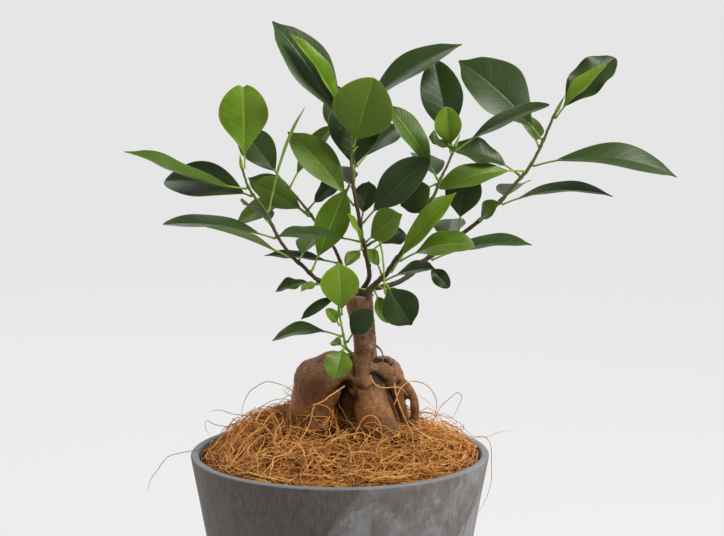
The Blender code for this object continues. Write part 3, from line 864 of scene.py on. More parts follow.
def hollow_measure(mesh: bpy.types.Mesh, rounds: int, depth: float) -> np.ndarray:
    """How deep in a crease each corner lies.

    Args:
        mesh: the mesh.
        rounds: rounds of averaging, which set how broad a crease counts.
        depth: the depth that gives 1.

    Returns:
        A number for each corner: 0 on a crown, up to 1 in a crease.
    """
    place = corners(mesh).astype(float)
    edges = np.empty(len(mesh.edges) * 2, np.int32)
    mesh.edges.foreach_get("vertices", edges)
    a, b = edges.reshape(-1, 2).T
    count = np.bincount(np.concatenate([a, b]), minlength=len(place))[:, None]
    smooth = place.copy()
    for _ in range(rounds):
        total = np.zeros_like(smooth)
        np.add.at(total, a, smooth[b])
        np.add.at(total, b, smooth[a])
        smooth = total / np.maximum(count, 1)
    return np.clip(((smooth - place) * facings(mesh)).sum(1) / depth, 0.0, 1.0)


# --- Pot and soil ----------------------------------------------------------------------------


@dataclass
class Pot:
    """The turned pot, on the CAD pot's own section."""

    wall: float = 0.005
    floor: float = 0.006
    base_radius: float = 0.063
    lip_round: float = 0.0014
    foot_round: float = 0.0022
    drain_holes: int = 4
    drain_radius: float = 0.005
    drain_circle: float = 0.034
    corner: float = 0.004
    corner_steps: int = 4
    sides: int = 200
    rim_radius: float = field(init=False)
    height: float = field(init=False)

    def __post_init__(self) -> None:
        """Reads the overall sizes from the frame."""
        low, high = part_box("pot")
        self.rim_radius = (high.x - low.x) / 2
        self.height = high.z

    def radius(self, height: float) -> float:
        """The outer radius at a height."""
        return self.base_radius + (self.rim_radius - self.base_radius) * height / self.height

    def section(self) -> list[tuple[float, float]]:
        """Half the wall's section, from the inside floor to the underside.

        Returns:
            Pairs of radius and height.
        """
        lip, foot = self.lip_round, self.foot_round
        points = [(0.0, self.floor), (self.radius(self.floor) - self.wall - self.corner, self.floor),
                  (self.radius(self.floor) - self.wall, self.floor + self.corner)]
        points += [(self.radius(h) - self.wall, h) for h in (0.06, 0.12, self.height - lip)]
        inner = self.radius(self.height) - self.wall
        turns = [math.pi / 2 * k / self.corner_steps for k in range(1, self.corner_steps + 1)]
        points += [(inner + lip * (1 - math.cos(a)), self.height - lip * (1 - math.sin(a)))
                   for a in turns]
        points += [(self.rim_radius - lip * (1 - math.sin(a)), self.height - lip * (1 - math.cos(a)))
                   for a in (0.0, *turns)]
        points += [(self.radius(h), h) for h in (0.150, 0.110, 0.070, 0.030, foot)]
        points += [(self.base_radius - foot * (1 - math.cos(a)), foot * (1 - math.sin(a)))
                   for a in turns]
        return [*points, (0.0, 0.0)]

    def mesh(self) -> bpy.types.Mesh:
        """Turns the wall and drills it through its floor.

        Returns:
            The pot's mesh.
        """
        bm = bmesh.new()
        section = self.section()
        middle_top, middle_low = (bm.verts.new((0, 0, h)) for h in (self.floor, 0.0))
        rows = [level_ring(bm, radius, [height] * self.sides) for radius, height in section[1:-1]]
        skin_disc(bm, middle_top, rows)
        for i in range(self.sides):
            bm.faces.new((middle_low, rows[-1][(i + 1) % self.sides], rows[-1][i]))
        bmesh.ops.recalc_face_normals(bm, faces=bm.faces)
        worked = bench_object("pot_blank", mesh_from(bm, "pot_blank"))
        drills = [self.drill(math.tau * (k + 0.5) / self.drain_holes) for k in range(self.drain_holes)]
        for drill in drills:
            hole = worked.modifiers.new("drain", "BOOLEAN")
            hole.operation = "DIFFERENCE"
            hole.object = drill
        mesh = evaluated(worked, "pot_wall")
        for drill in drills:
            bpy.data.objects.remove(drill, do_unlink=True)
        return mesh

    def drill(self, angle: float) -> bpy.types.Object:
        """Makes a cutter for one drain hole.

        Args:
            angle: where round the floor the hole is.

        Returns:
            The cutter.
        """
        bm = bmesh.new()
        bmesh.ops.create_cone(bm, cap_ends=True, segments=32, radius1=self.drain_radius,
                              radius2=self.drain_radius, depth=self.floor * 4)
        place = Vector((math.cos(angle), math.sin(angle), 0)) * self.drain_circle
        bmesh.ops.translate(bm, verts=bm.verts, vec=place)
        return bench_object("drain_drill", mesh_from(bm, "drain_drill"))

    def build(self) -> None:
        """Makes the pot, and dresses the soil in it."""
        material = PotFinish().material()
        mesh = self.mesh()
        mesh.materials.clear()
        add_piece("grey_pot", mesh, material, "pot", ["pot"], crisp=35.0)
        soil = frame["nodes"]["potting_soil"]
        for slot in soil.material_slots:
            slot.material = soil_material()
        LOG.info("potting_soil: CAD mesh kept, crumbly finish")


# --- Trunk and roots -------------------------------------------------------------------------


@dataclass(frozen=True)
class Furrow:
    """A groove in the front of the roots, along a route of x and z, all in millimetres.

    width is how far from the route the groove has lost about two thirds of its depth.
    """

    route: tuple[tuple[float, float], ...]
    width: float
    depth: float

    def sink(self, spot: Vector) -> float:
        """How far the groove takes the skin in.

        Args:
            spot: a place on the skin, in metres.

        Returns:
            The distance in metres.
        """
        here = Vector((spot.x, spot.z)) / MM
        gap = math.inf
        for start, end in zip(self.route, self.route[1:]):
            start, end = Vector(start), Vector(end)
            along = (here - start).dot(end - start) / (end - start).length_squared
            gap = min(gap, (here - start.lerp(end, min(1.0, max(0.0, along)))).length)
        return self.depth * MM * math.exp(-((gap / self.width) ** 2))


FURROWS = (
    Furrow(((6, 226), (10, 224), (15, 224), (19, 226), (23, 227),
            (28, 226), (32, 219), (35, 211), (39, 200), (40, 194)), 1.4, 1.5),
    Furrow(((23, 239), (27, 240), (30, 239), (33, 237)), 1.4, 2.6),
    Furrow(((21, 231), (24, 229), (28, 226)), 2.4, 2.4),
    Furrow(((-5, 217), (-1, 221), (3, 223), (7, 222), (9, 217)), 3.0, 2.4),
    Furrow(((7, 245), (8, 238), (9, 231)), 1.6, 0.9),
)


@dataclass(frozen=True)
class Pit:
    """A small round pit in the bark, with a raised lip."""

    place: tuple[float, float, float]
    radius: float
    depth: float

    def rise(self, spot: Vector) -> float:
        """How far the pit lifts the skin at a spot; below zero inside it."""
        out = (spot - Vector(self.place)).length / self.radius
        return self.depth * (0.45 * math.exp(-((out - 1.6) ** 2) * 3.0) - math.exp(-(out**2)))


PITS = (
    Pit((0.0365, -0.0040, 0.2245), 0.0022, 0.0016), Pit((0.0300, -0.0105, 0.2305), 0.0016, 0.0010),
    Pit((0.0345, -0.0075, 0.2300), 0.0012, 0.0009), Pit((0.0080, -0.0110, 0.2460), 0.0014, 0.0007),
    Pit((-0.0150, -0.0200, 0.2190), 0.0016, 0.0006), Pit((0.0245, -0.0300, 0.2060), 0.0015, 0.0007),
)


@dataclass
class RootedTrunk:
    """The sawn trunk on its swollen roots, as one grown skin.

    The wrinkles deepen over the neck, where roots give way to trunk, and fade out at the cut.
    """

    voxel: float = 0.0009
    smoothing: int = 3
    lump: float = 0.0009
    lump_scale: float = 90.0
    wrinkle: float = 0.00045
    wrinkle_scale: Vector = field(default_factory=lambda: Vector((120.0, 120.0, 560.0)))
    grain: float = 0.6
    grain_scale: Vector = field(default_factory=lambda: Vector((520.0, 520.0, 110.0)))
    neck_height: float = 0.232
    neck_blend: float = 0.02
    pit_reach: float = 3.2
    cut_margin: float = 0.0012
    cut_fade: float = 0.002
    cut_depth: float = 0.0007
    crease_rounds: int = 12
    crease_depth: float = 0.0009
    top: float = field(init=False)
    tree: BVHTree = field(init=False)

    def relief(self, spot: Vector) -> float:
        """How far the skin stands out: broad lumps, ring wrinkles, grain, pits and furrows.

        Args:
            spot: a place on the skin.

        Returns:
            The distance.
        """
        share = min(1.0, max(0.0, (spot.z - self.neck_height) / self.neck_blend))
        broad = noise.noise(spot * self.lump_scale) * self.lump
        rings = noise.fractal(spot * self.wrinkle_scale, 0.9, 2.1, 3) * self.wrinkle
        grain = noise.noise(spot * self.grain_scale) * self.wrinkle * self.grain
        total = broad * (1 - 0.7 * share) + rings * (0.35 + 0.65 * share) + grain
        for pit in PITS:
            if (spot - Vector(pit.place)).length < self.pit_reach * pit.radius:
                total += pit.rise(spot)
        if spot.y < 0:
            total -= max(furrow.sink(spot) for furrow in FURROWS)
        return total

    def build(self) -> None:
        """Makes the skin and its measures for the finish."""
        self.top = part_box("trunk_with_roots")[1].z
        mesh = remeshed("trunk_skin", merged_copy("trunk_with_roots"), self.voxel, self.smoothing)
        place = corners(mesh)
        fades = np.clip((self.top - self.cut_margin - place[:, 2]) / self.cut_fade, 0.0, 1.0)
        heights = np.array([self.relief(Vector(spot)) for spot in place]) * fades
        move_corners(mesh, place + facings(mesh) * heights[:, None])
        # the crease measure darkens the creases in the bark's finish: painted shade
        set_values(mesh, "crease", hollow_measure(mesh, self.crease_rounds, self.crease_depth))
        sawn = corners(mesh)[:, 2] > self.top - self.cut_depth
        set_values(mesh, "sawn", sawn.astype(float))
        bm = bmesh.new()
        bm.from_mesh(mesh)
        self.tree = BVHTree.FromBMesh(bm)
        bm.free()
        mesh.materials.clear()
        add_piece("rooted_trunk", mesh, BarkFinish().material(), "bark", ["trunk_with_roots"],
                  crisp=70.0)


# --- Branches --------------------------------------------------------------------------------


@dataclass
class Branch:
    """One stem: its CAD rings read back as a middle line and radii."""

    node: str
    ring_points: int = 6
    spacing: float = 0.0018
    sides: int = 14
    feet: list[float] = field(default_factory=list)
    path: Path = field(init=False)
    radii: np.ndarray = field(init=False)

    def __post_init__(self) -> None:
        """Finds the rings and orders them from the thick end."""
        rings = self.rings()
        centres = [sum(ring, Vector()) / len(ring) for ring in rings]
        sizes = [sum((p - c).length for p in ring) / len(ring) for ring, c in zip(rings, centres)]
        if sizes[0] < sizes[-1]:
            centres.reverse()
            sizes.reverse()
        self.path = Path(centres)
        self.radii = np.array(sizes)

    def rings(self) -> list[list[Vector]]:
        """Finds the CAD tube's rings.

        Returns:
            The rings' points, from one end to the other.
        """
        bm = merged_copy(self.node)
        count = len(bm.verts) // self.ring_points
        near = {v.index: {e.other_vert(v).index for e in v.link_edges} for v in bm.verts}
        found = None
        for face in bm.faces:
            cap = flat_patch(face)
            if len(cap) == self.ring_points:
                layers = spread(cap, near)
                if len(layers) == count and all(len(layer) == self.ring_points for layer in layers):
                    found = [[bm.verts[i].co.copy() for i in layer] for layer in layers]
                    break
        bm.free()
        if found is None:
            raise ValueError(f"{self.node} has no ring of {self.ring_points} corners at its end")
        return found

    def radius(self, share: float) -> float:
        """The radius at a share of the length."""
        return float(np.interp(share, self.path.knots, self.radii))

    def gap(self, spot: Vector) -> float:
        """How far a spot is from the bark; below zero inside it."""
        share = self.path.nearest(spot)
        return (self.path.point(share) - spot).length - self.radius(share)

    @property
    def foot(self) -> Vector:
        """The middle of the foot."""
        return self.path.point(0.0)


def flat_patch(face: bmesh.types.BMFace) -> set[int]:
    """Finds the flat patch that a face belongs to.

    Args:
        face: the face.

    Returns:
        The numbers of the patch's corners.
    """
    patch, edge = {face}, [face]
    while edge:
        for link in edge.pop().edges:
            for other in link.link_faces:
                if other not in patch and other.normal.dot(face.normal) > 1 - 1e-6:
                    patch.add(other)
                    edge.append(other)
    return {v.index for f in patch for v in f.verts}


def spread(start: set[int], near: Mapping[int, set[int]]) -> list[list[int]]:
    """Sorts corners in layers, by how many edges they are from the start.

    Args:
        start: the numbers of the first layer's corners.
        near: each corner's neighbours.

    Returns:
        The layers.
    """
    seen, layer, layers = set(start), set(start), []
    while layer:
        layers.append(sorted(layer))
        layer = {w for v in layer for w in near[v]} - seen
        seen |= layer
    return layers


@dataclass
class Branches:
    """Every stem, with swollen nodes where leaves grow, and pointed buds at the tips.

    Swells are shares of a stem's own radius. slim is the radius that its bark has, next to CAD's.
    bud_section holds how far along a bud each ring is, and its size next to the stem's tip.
    """

    nodes: tuple[str, ...] = ("left_branch", "centre_branch", "back_branch", "right_branch",
                              "outer_branch", "back_twig", "front_shoot", "water_shoot")
    green: tuple[str, ...] = ("front_shoot", "water_shoot")
    parents: Mapping[str, str] = field(default_factory=lambda: {
        "back_twig": "back_branch", "front_shoot": "centre_branch"})
    sink: float = 0.0016
    graft_swell: float = 0.42
    graft_length: float = 0.0035
    node_swell: float = 0.22
    node_length: float = 0.0013
    scar_swell: float = 0.07
    scar_length: float = 0.0006
    scar_spacing: float = 0.012
    waver: float = 0.00012
    lump: float = 0.00016
    lump_scale: float = 420.0
    bud_length: float = 0.0085
    bud_section: tuple[tuple[float, float], ...] = (
        (-0.08, 0.8), (0.0, 1.0), (0.12, 1.22), (0.28, 1.2), (0.46, 1.0), (0.64, 0.72), (0.8, 0.44),
        (0.92, 0.22))
    bud_sides: int = 10
    slim: float = 0.76
    slim_left: float = 0.70
    built: dict[str, Branch] = field(default_factory=dict)

    def read(self) -> None:
        """Reads every stem from the frame."""
        for node in self.nodes:
            self.built[node] = Branch(node)

    def sunk_foot(self, branch: Branch) -> Vector:
        """Finds a point inside what the stem grows from.

        Args:
            branch: the stem.

        Returns:
            The point.
        """
        parent = self.parents.get(branch.node)
        if parent:
            line = self.built[parent].path
            goal = line.point(line.nearest(branch.foot))
            return branch.foot + (goal - branch.foot).normalized() * self.sink
        return branch.foot - branch.path.heading(0.0) * self.sink

    def stem_mesh(self, branch: Branch) -> bpy.types.Mesh:
        """Makes the fine tube of one stem.

        Args:
            branch: the stem.

        Returns:
            Its mesh, with its age from foot to tip.
        """
        draw = random.Random(branch.node)
        slim = self.slim_left if branch.node == "left_branch" else self.slim
        length = branch.path.length
        count = max(8, round(length / branch.spacing))
        shares = [k / count for k in range(count + 1)]
        scars = [draw.uniform(0.06, 0.96) for _ in range(round(length / self.scar_spacing))]
        rings = [(share, self.node_swell, self.node_length) for share in branch.feet]
        rings += [(share, self.scar_swell, self.scar_length) for share in scars]
        centres, radii = [self.sunk_foot(branch)], [branch.radius(0.0) * (1 + self.graft_swell)]
        for share in shares:
            swell = self.graft_swell * math.exp(-((share * length / self.graft_length) ** 2))
            swell += sum(high * math.exp(-(((share - at) * length / wide) ** 2))
                         for at, high, wide in rings)
            centre = branch.path.point(share)
            jitter = Vector([draw.uniform(-1, 1) for _ in range(3)]) * self.waver
            centres.append(centre + jitter if 0 < share < 1 else centre)
            radii.append(branch.radius(share) * (slim + swell))
        bm = bmesh.new()
        rows = rings_to_mesh(bm, tube_rings(centres, radii, branch.sides),
                             branch.path.point(1.0) + branch.path.heading(1.0) * radii[-1])
        ages = [0.0, *shares, 1.0]
        bm.verts.index_update()
        values = {v.index: age for row, age in zip(rows, ages) for v in row}
        for row in rows[1:-1]:
            for v in row:
                outwards = (v.co - branch.path.point(branch.path.nearest(v.co))).normalized()
                v.co += outwards * (noise.noise(v.co * self.lump_scale) * self.lump)
        mesh = mesh_from(bm, branch.node + "_bark")
        set_values(mesh, "age", [values[i] for i in range(len(mesh.vertices))])
        return mesh

    def bud_mesh(self) -> bpy.types.Mesh:
        """Makes the pointed terminal buds, one at each tip.

        Returns:
            Their mesh.
        """
        bm = bmesh.new()
        lean = Vector((0.12, -0.05, 0.3))
        for node, branch in self.built.items():
            length = self.bud_length * random.Random(node + "_bud").uniform(0.6, 1.15)
            tip, along = branch.path.point(1.0), branch.path.heading(1.0)
            centres = [tip + (along + lean * t) * (length * t) for t, _ in self.bud_section]
            radii = [branch.radius(1.0) * f for _, f in self.bud_section]
            rings_to_mesh(bm, tube_rings(centres, radii, self.bud_sides), tip + (along + lean) * length)
        return mesh_from(bm, "bud_skins")

    def build(self) -> None:
        """Makes the stems and the buds."""
        paints = {finish.name: finish.material() for finish in TWIG_FINISHES}
        for node, branch in self.built.items():
            slot = "stem_green" if node in self.green else "bark_young"
            add_piece(node + "_stem", self.stem_mesh(branch), paints[slot], slot, [node], crisp=80.0)
        buds = self.bud_mesh()
        set_values(buds, "age", [1.0] * len(buds.vertices))
        add_piece("terminal_buds", buds, paints["stem_green"], "stem_green", crisp=80.0)


# --- Leaves ----------------------------------------------------------------------------------


class Tip(Enum):
    """How a blade ends."""

    POINTED = "pointed"
    BLUNT = "blunt"
    NOTCHED = "notched"


TIP_POWERS = {Tip.POINTED: 0.8, Tip.BLUNT: 0.62, Tip.NOTCHED: 0.5}


@dataclass(frozen=True)
class LeafHabit:
    """What sets one leaf apart.

    ripple is how far the margin waves and curl how far the tip lifts, in millimetres; slim
    narrows the blade, and wedge tapers its foot.
    """

    tip: Tip = Tip.POINTED
    ripple: float = 0.7
    waves: float = 1.6
    curl: float = 0.0
    slim: float = 1.0
    wedge: float = 1.0


HABITS: Mapping[str, LeafHabit] = {
    "left_leaf_spoon": LeafHabit(Tip.NOTCHED, 1.4, 1.2, -3.0, 1.0, 1.25),
    "left_leaf_blade": LeafHabit(Tip.POINTED, 0.5, 1.2, 0.0, 0.5),
    "left_leaf_far": LeafHabit(Tip.POINTED, 1.2, 1.5, -4.0),
    "left_leaf_rear": LeafHabit(Tip.BLUNT, 0.8, 1.4),
    "left_leaf_bright": LeafHabit(Tip.POINTED, 0.9, 1.3, 0.0, 0.74),
    "centre_leaf_front": LeafHabit(Tip.BLUNT, 0.8, 1.1),
    "crown_leaf_right": LeafHabit(Tip.POINTED, 1.0, 1.4),
    "right_leaf_young": LeafHabit(Tip.BLUNT, 0.8, 1.2),
    "outer_leaf_curled": LeafHabit(Tip.BLUNT, 2.2, 2.4),
    "outer_leaf_folded": LeafHabit(Tip.BLUNT, 1.5, 2.0),
    "outer_leaf_bright": LeafHabit(Tip.POINTED, 1.2, 1.5),
    "shoot_leaf_spade": LeafHabit(Tip.POINTED, 0.7, 1.0),
    "right_curled": LeafHabit(Tip.BLUNT, 2.4, 2.2, 2.0),
}


@dataclass
class LeafForm:
    """Where a leaf lies: its middle line, the way its upper side looks, and its outline.

    CAD_RING is how many corners each ring of a CAD leaf has.
    """

    CAD_RING: ClassVar[int] = 4
    path: Path
    marks: np.ndarray
    ups: np.ndarray
    stalk: float
    width: float
    belly: float
    fold: float

    @classmethod
    def from_cad(cls, node: str) -> "LeafForm":
        """Reads a CAD leaf's rings, from the tip back to the stalk's foot.

        Args:
            node: the CAD node.

        Returns:
            The leaf's form.
        """
        bm = merged_copy(node)
        near = {v.index: {e.other_vert(v).index for e in v.link_edges} for v in bm.verts}
        for vertex in bm.verts:
            layers = spread({vertex.index}, near)
            if all(len(layer) == cls.CAD_RING for layer in layers[1:]):
                break
        rings = [[bm.verts[i].co.copy() for i in layer] for layer in reversed(layers)]
        bm.free()
        centres, ups, halves = [], [], []
        for ring in rings[:-1]:
            pairs = [(a, b) for k, a in enumerate(ring) for b in ring[k + 1:]]
            left, right = max(pairs, key=lambda pair: (pair[0] - pair[1]).length)
            ribs = [p for p in ring if p not in (left, right)]
            middle = (ribs[0] + ribs[1]) / 2
            centres.append(middle)
            ups.append((left + right) / 2 - middle)
            halves.append((left - middle).length)
        stalk_rings = 3
        for k in range(stalk_rings):
            centres[k] = sum(rings[k], Vector()) / cls.CAD_RING
            ups[k] = ups[stalk_rings]
        tip = rings[-1][0]
        path = Path([*centres, tip])
        stations = (path.knots[stalk_rings:-1] - path.knots[2]) / (1 - path.knots[2])
        width, belly = fit_outline(stations, halves[stalk_rings:])
        widest = max(range(stalk_rings, len(halves)), key=lambda k: halves[k])
        fold = math.asin(min(1.0, ups[widest].length / halves[widest]))
        unit = [tuple(up.normalized()) for up in [*ups, ups[-1]]]
        return cls(path, path.knots, np.array(unit), float(path.knots[2]), width, belly, fold)

    @classmethod
    def from_row(cls, row: "ExtraLeaf", branch: Branch) -> "LeafForm":
        """Lays a leaf that the CAD model has no node for.

        Args:
            row: the leaf.
            branch: the stem that it grows on.

        Returns:
            The leaf's form.
        """
        centre, along = branch.path.point(row.at), branch.path.heading(row.at)
        reach = Vector(row.reach) * MM
        across = (reach - along * reach.dot(along)).normalized()
        foot = centre + across * (branch.radius(row.at) + row.gap)
        tip = foot + reach
        face = Vector(row.face).normalized()
        bend = foot.lerp(tip, 0.5) + face * (2 * row.arch * MM)
        shares = [k / 8 for k in range(9)]
        path = Path([foot.lerp(bend, t).lerp(bend.lerp(tip, t), t) for t in shares])
        ups = np.array([tuple(face)] * len(path.knots))
        return cls(path, path.knots, ups, row.stalk * MM / path.length, row.width * MM, row.belly,
                   math.radians(row.fold))

    def up(self, share: float) -> Vector:
        """The way the upper side looks at a share of the whole length."""
        return Vector([float(np.interp(share, self.marks, self.ups[:, k])) for k in range(3)])


def outline(share: float, width: float, belly: float, tip_power: float = 0.8,
            foot_power: float = 0.8) -> float:
    """Half a blade's width at a share of its length.

    Args:
        share: where along the blade.
        width: the whole width at the widest place.
        belly: where that place is.
        tip_power: how full the tip is; a smaller power is fuller.
        foot_power: the same for the foot; 1 or more makes a wedge.

    Returns:
        Half the width.
    """
    bent = share ** (math.log(0.5) / math.log(belly))
    power = foot_power if bent < 0.5 else tip_power
    return width / 2 * max(0.0, math.sin(math.pi * bent)) ** power


def fit_outline(stations: Iterable[float], halves: Sequence[float]) -> tuple[float, float]:
    """Finds the width and the belly whose oval passes nearest the half widths.

    Args:
        stations: shares of the blade's length.
        halves: the half width at each.

    Returns:
        The width and the belly.
    """
    first, step, count = 0.38, 0.01, 31
    best = (math.inf, 0.0, 0.5)
    shares = list(stations)
    for k in range(count):
        belly = first + step * k
        shape = [outline(s, 2.0, belly) for s in shares]
        width = 2 * sum(a * b for a, b in zip(shape, halves)) / sum(a * a for a in shape)
        gap = sum((a * width / 2 - b) ** 2 for a, b in zip(shape, halves))
        best = min(best, (gap, width, belly))
    return best[1], best[2]


@dataclass(frozen=True)
class ExtraLeaf:
    """A small or hidden leaf that only the visual model has, laid out as the CAD leaves are.

    reach is from the stem to the tip in millimetres, as width, stalk and arch are, and face is the
    way the upper side looks. gap, in metres, is what the stalk's foot leaves to the bark.
    """

    name: str
    stem: str
    at: float
    reach: tuple[float, float, float]
    face: tuple[float, float, float]
    width: float
    age: LeafAge = LeafAge.MATURE
    stalk: float = 6.0
    arch: float = 2.0
    fold: float = 14.0
    gap: float = 0.0009
    belly: float = 0.5


EXTRA_LEAVES = (
    ExtraLeaf("left_small_b", "left_branch", 0.20, (-12, -17, -2), (0, -0.4, 1), 8, LeafAge.MEDIUM, 4),
    ExtraLeaf("back_shadow", "back_branch", 0.71, (24, -12, 22), (-0.5, -0.8, 0.4), 14),
    ExtraLeaf("back_low", "back_branch", 0.24, (-46, -2, 5), (0, -0.4, 1), 12),
    ExtraLeaf("centre_behind", "centre_branch", 0.43, (5, 18, 24), (0, -1, 0.4), 15),
    ExtraLeaf("centre_low_left", "centre_branch", 0.29, (-10, -17, -9), (0, -0.7, 0.7), 9,
              LeafAge.MEDIUM, 4),
    ExtraLeaf("centre_pale", "centre_branch", 0.29, (-9, -9, 23), (0.8, -0.5, 0.3), 7, LeafAge.YOUNG, 4),
    ExtraLeaf("right_curled", "right_branch", 0.99, (-14, -20, 3), (0.1, -0.6, 0.8), 19,
              LeafAge.MATURE, 3),
    ExtraLeaf("outer_small", "outer_branch", 0.51, (11, -16, 13), (-0.5, -0.8, 0.3), 12,
              LeafAge.MEDIUM, 3),
    ExtraLeaf("collar_yellow", "right_branch", 0.06, (8, -3, -20), (0.3, -1, 0.1), 11, LeafAge.YOUNG, 4),
    ExtraLeaf("collar_pale", "right_branch", 0.10, (14, -7, -9), (0.1, -1, 0.4), 9, LeafAge.YOUNG, 4),
    ExtraLeaf("collar_front", "right_branch", 0.03, (-20, -5, 1), (0, -0.85, 0.5), 14,
              LeafAge.MATURE, 3),
    ExtraLeaf("collar_green", "right_branch", 0.16, (-9, -6, 16), (0.6, -0.8, 0.2), 9, LeafAge.MEDIUM),
    ExtraLeaf("collar_left", "left_branch", 0.05, (-27, -10, -15), (0, -0.6, 0.8), 9),
    ExtraLeaf("shoot_pale", "water_shoot", 0.80, (-8, -8, 11), (0.3, -0.9, 0.3), 8, LeafAge.YOUNG, 3),
    ExtraLeaf("shoot_back", "water_shoot", 0.22, (-9, 6, 3), (0, -0.6, 0.8), 8, LeafAge.MEDIUM, 3),
    ExtraLeaf("rear_left_a", "left_branch", 0.64, (-20, 38, 10), (0.2, 0.4, 1), 22),
    ExtraLeaf("rear_left_b", "left_branch", 0.38, (14, 34, 14), (0, 0.3, 1), 20, LeafAge.MEDIUM),
    ExtraLeaf("rear_centre_a", "centre_branch", 0.62, (-16, 40, 12), (0, 0.4, 1), 24),
    ExtraLeaf("rear_centre_b", "centre_branch", 0.82, (22, 36, 16), (0, 0.5, 1), 22),
    ExtraLeaf("rear_centre_c", "centre_branch", 0.94, (-10, 30, 26), (0, 0.7, 0.7), 19, LeafAge.MEDIUM),
    ExtraLeaf("rear_right_a", "right_branch", 0.55, (12, 42, 10), (0, 0.4, 1), 24),
    ExtraLeaf("rear_right_b", "right_branch", 0.80, (-12, 40, 14), (0, 0.4, 1), 22),
    ExtraLeaf("rear_outer_a", "outer_branch", 0.36, (6, 40, 12), (0, 0.4, 1), 22),
    ExtraLeaf("rear_outer_b", "outer_branch", 0.62, (18, 38, 8), (0, 0.4, 1), 24),
    ExtraLeaf("rear_outer_c", "outer_branch", 0.86, (-8, 34, 20), (0, 0.6, 0.8), 20, LeafAge.MEDIUM),
)


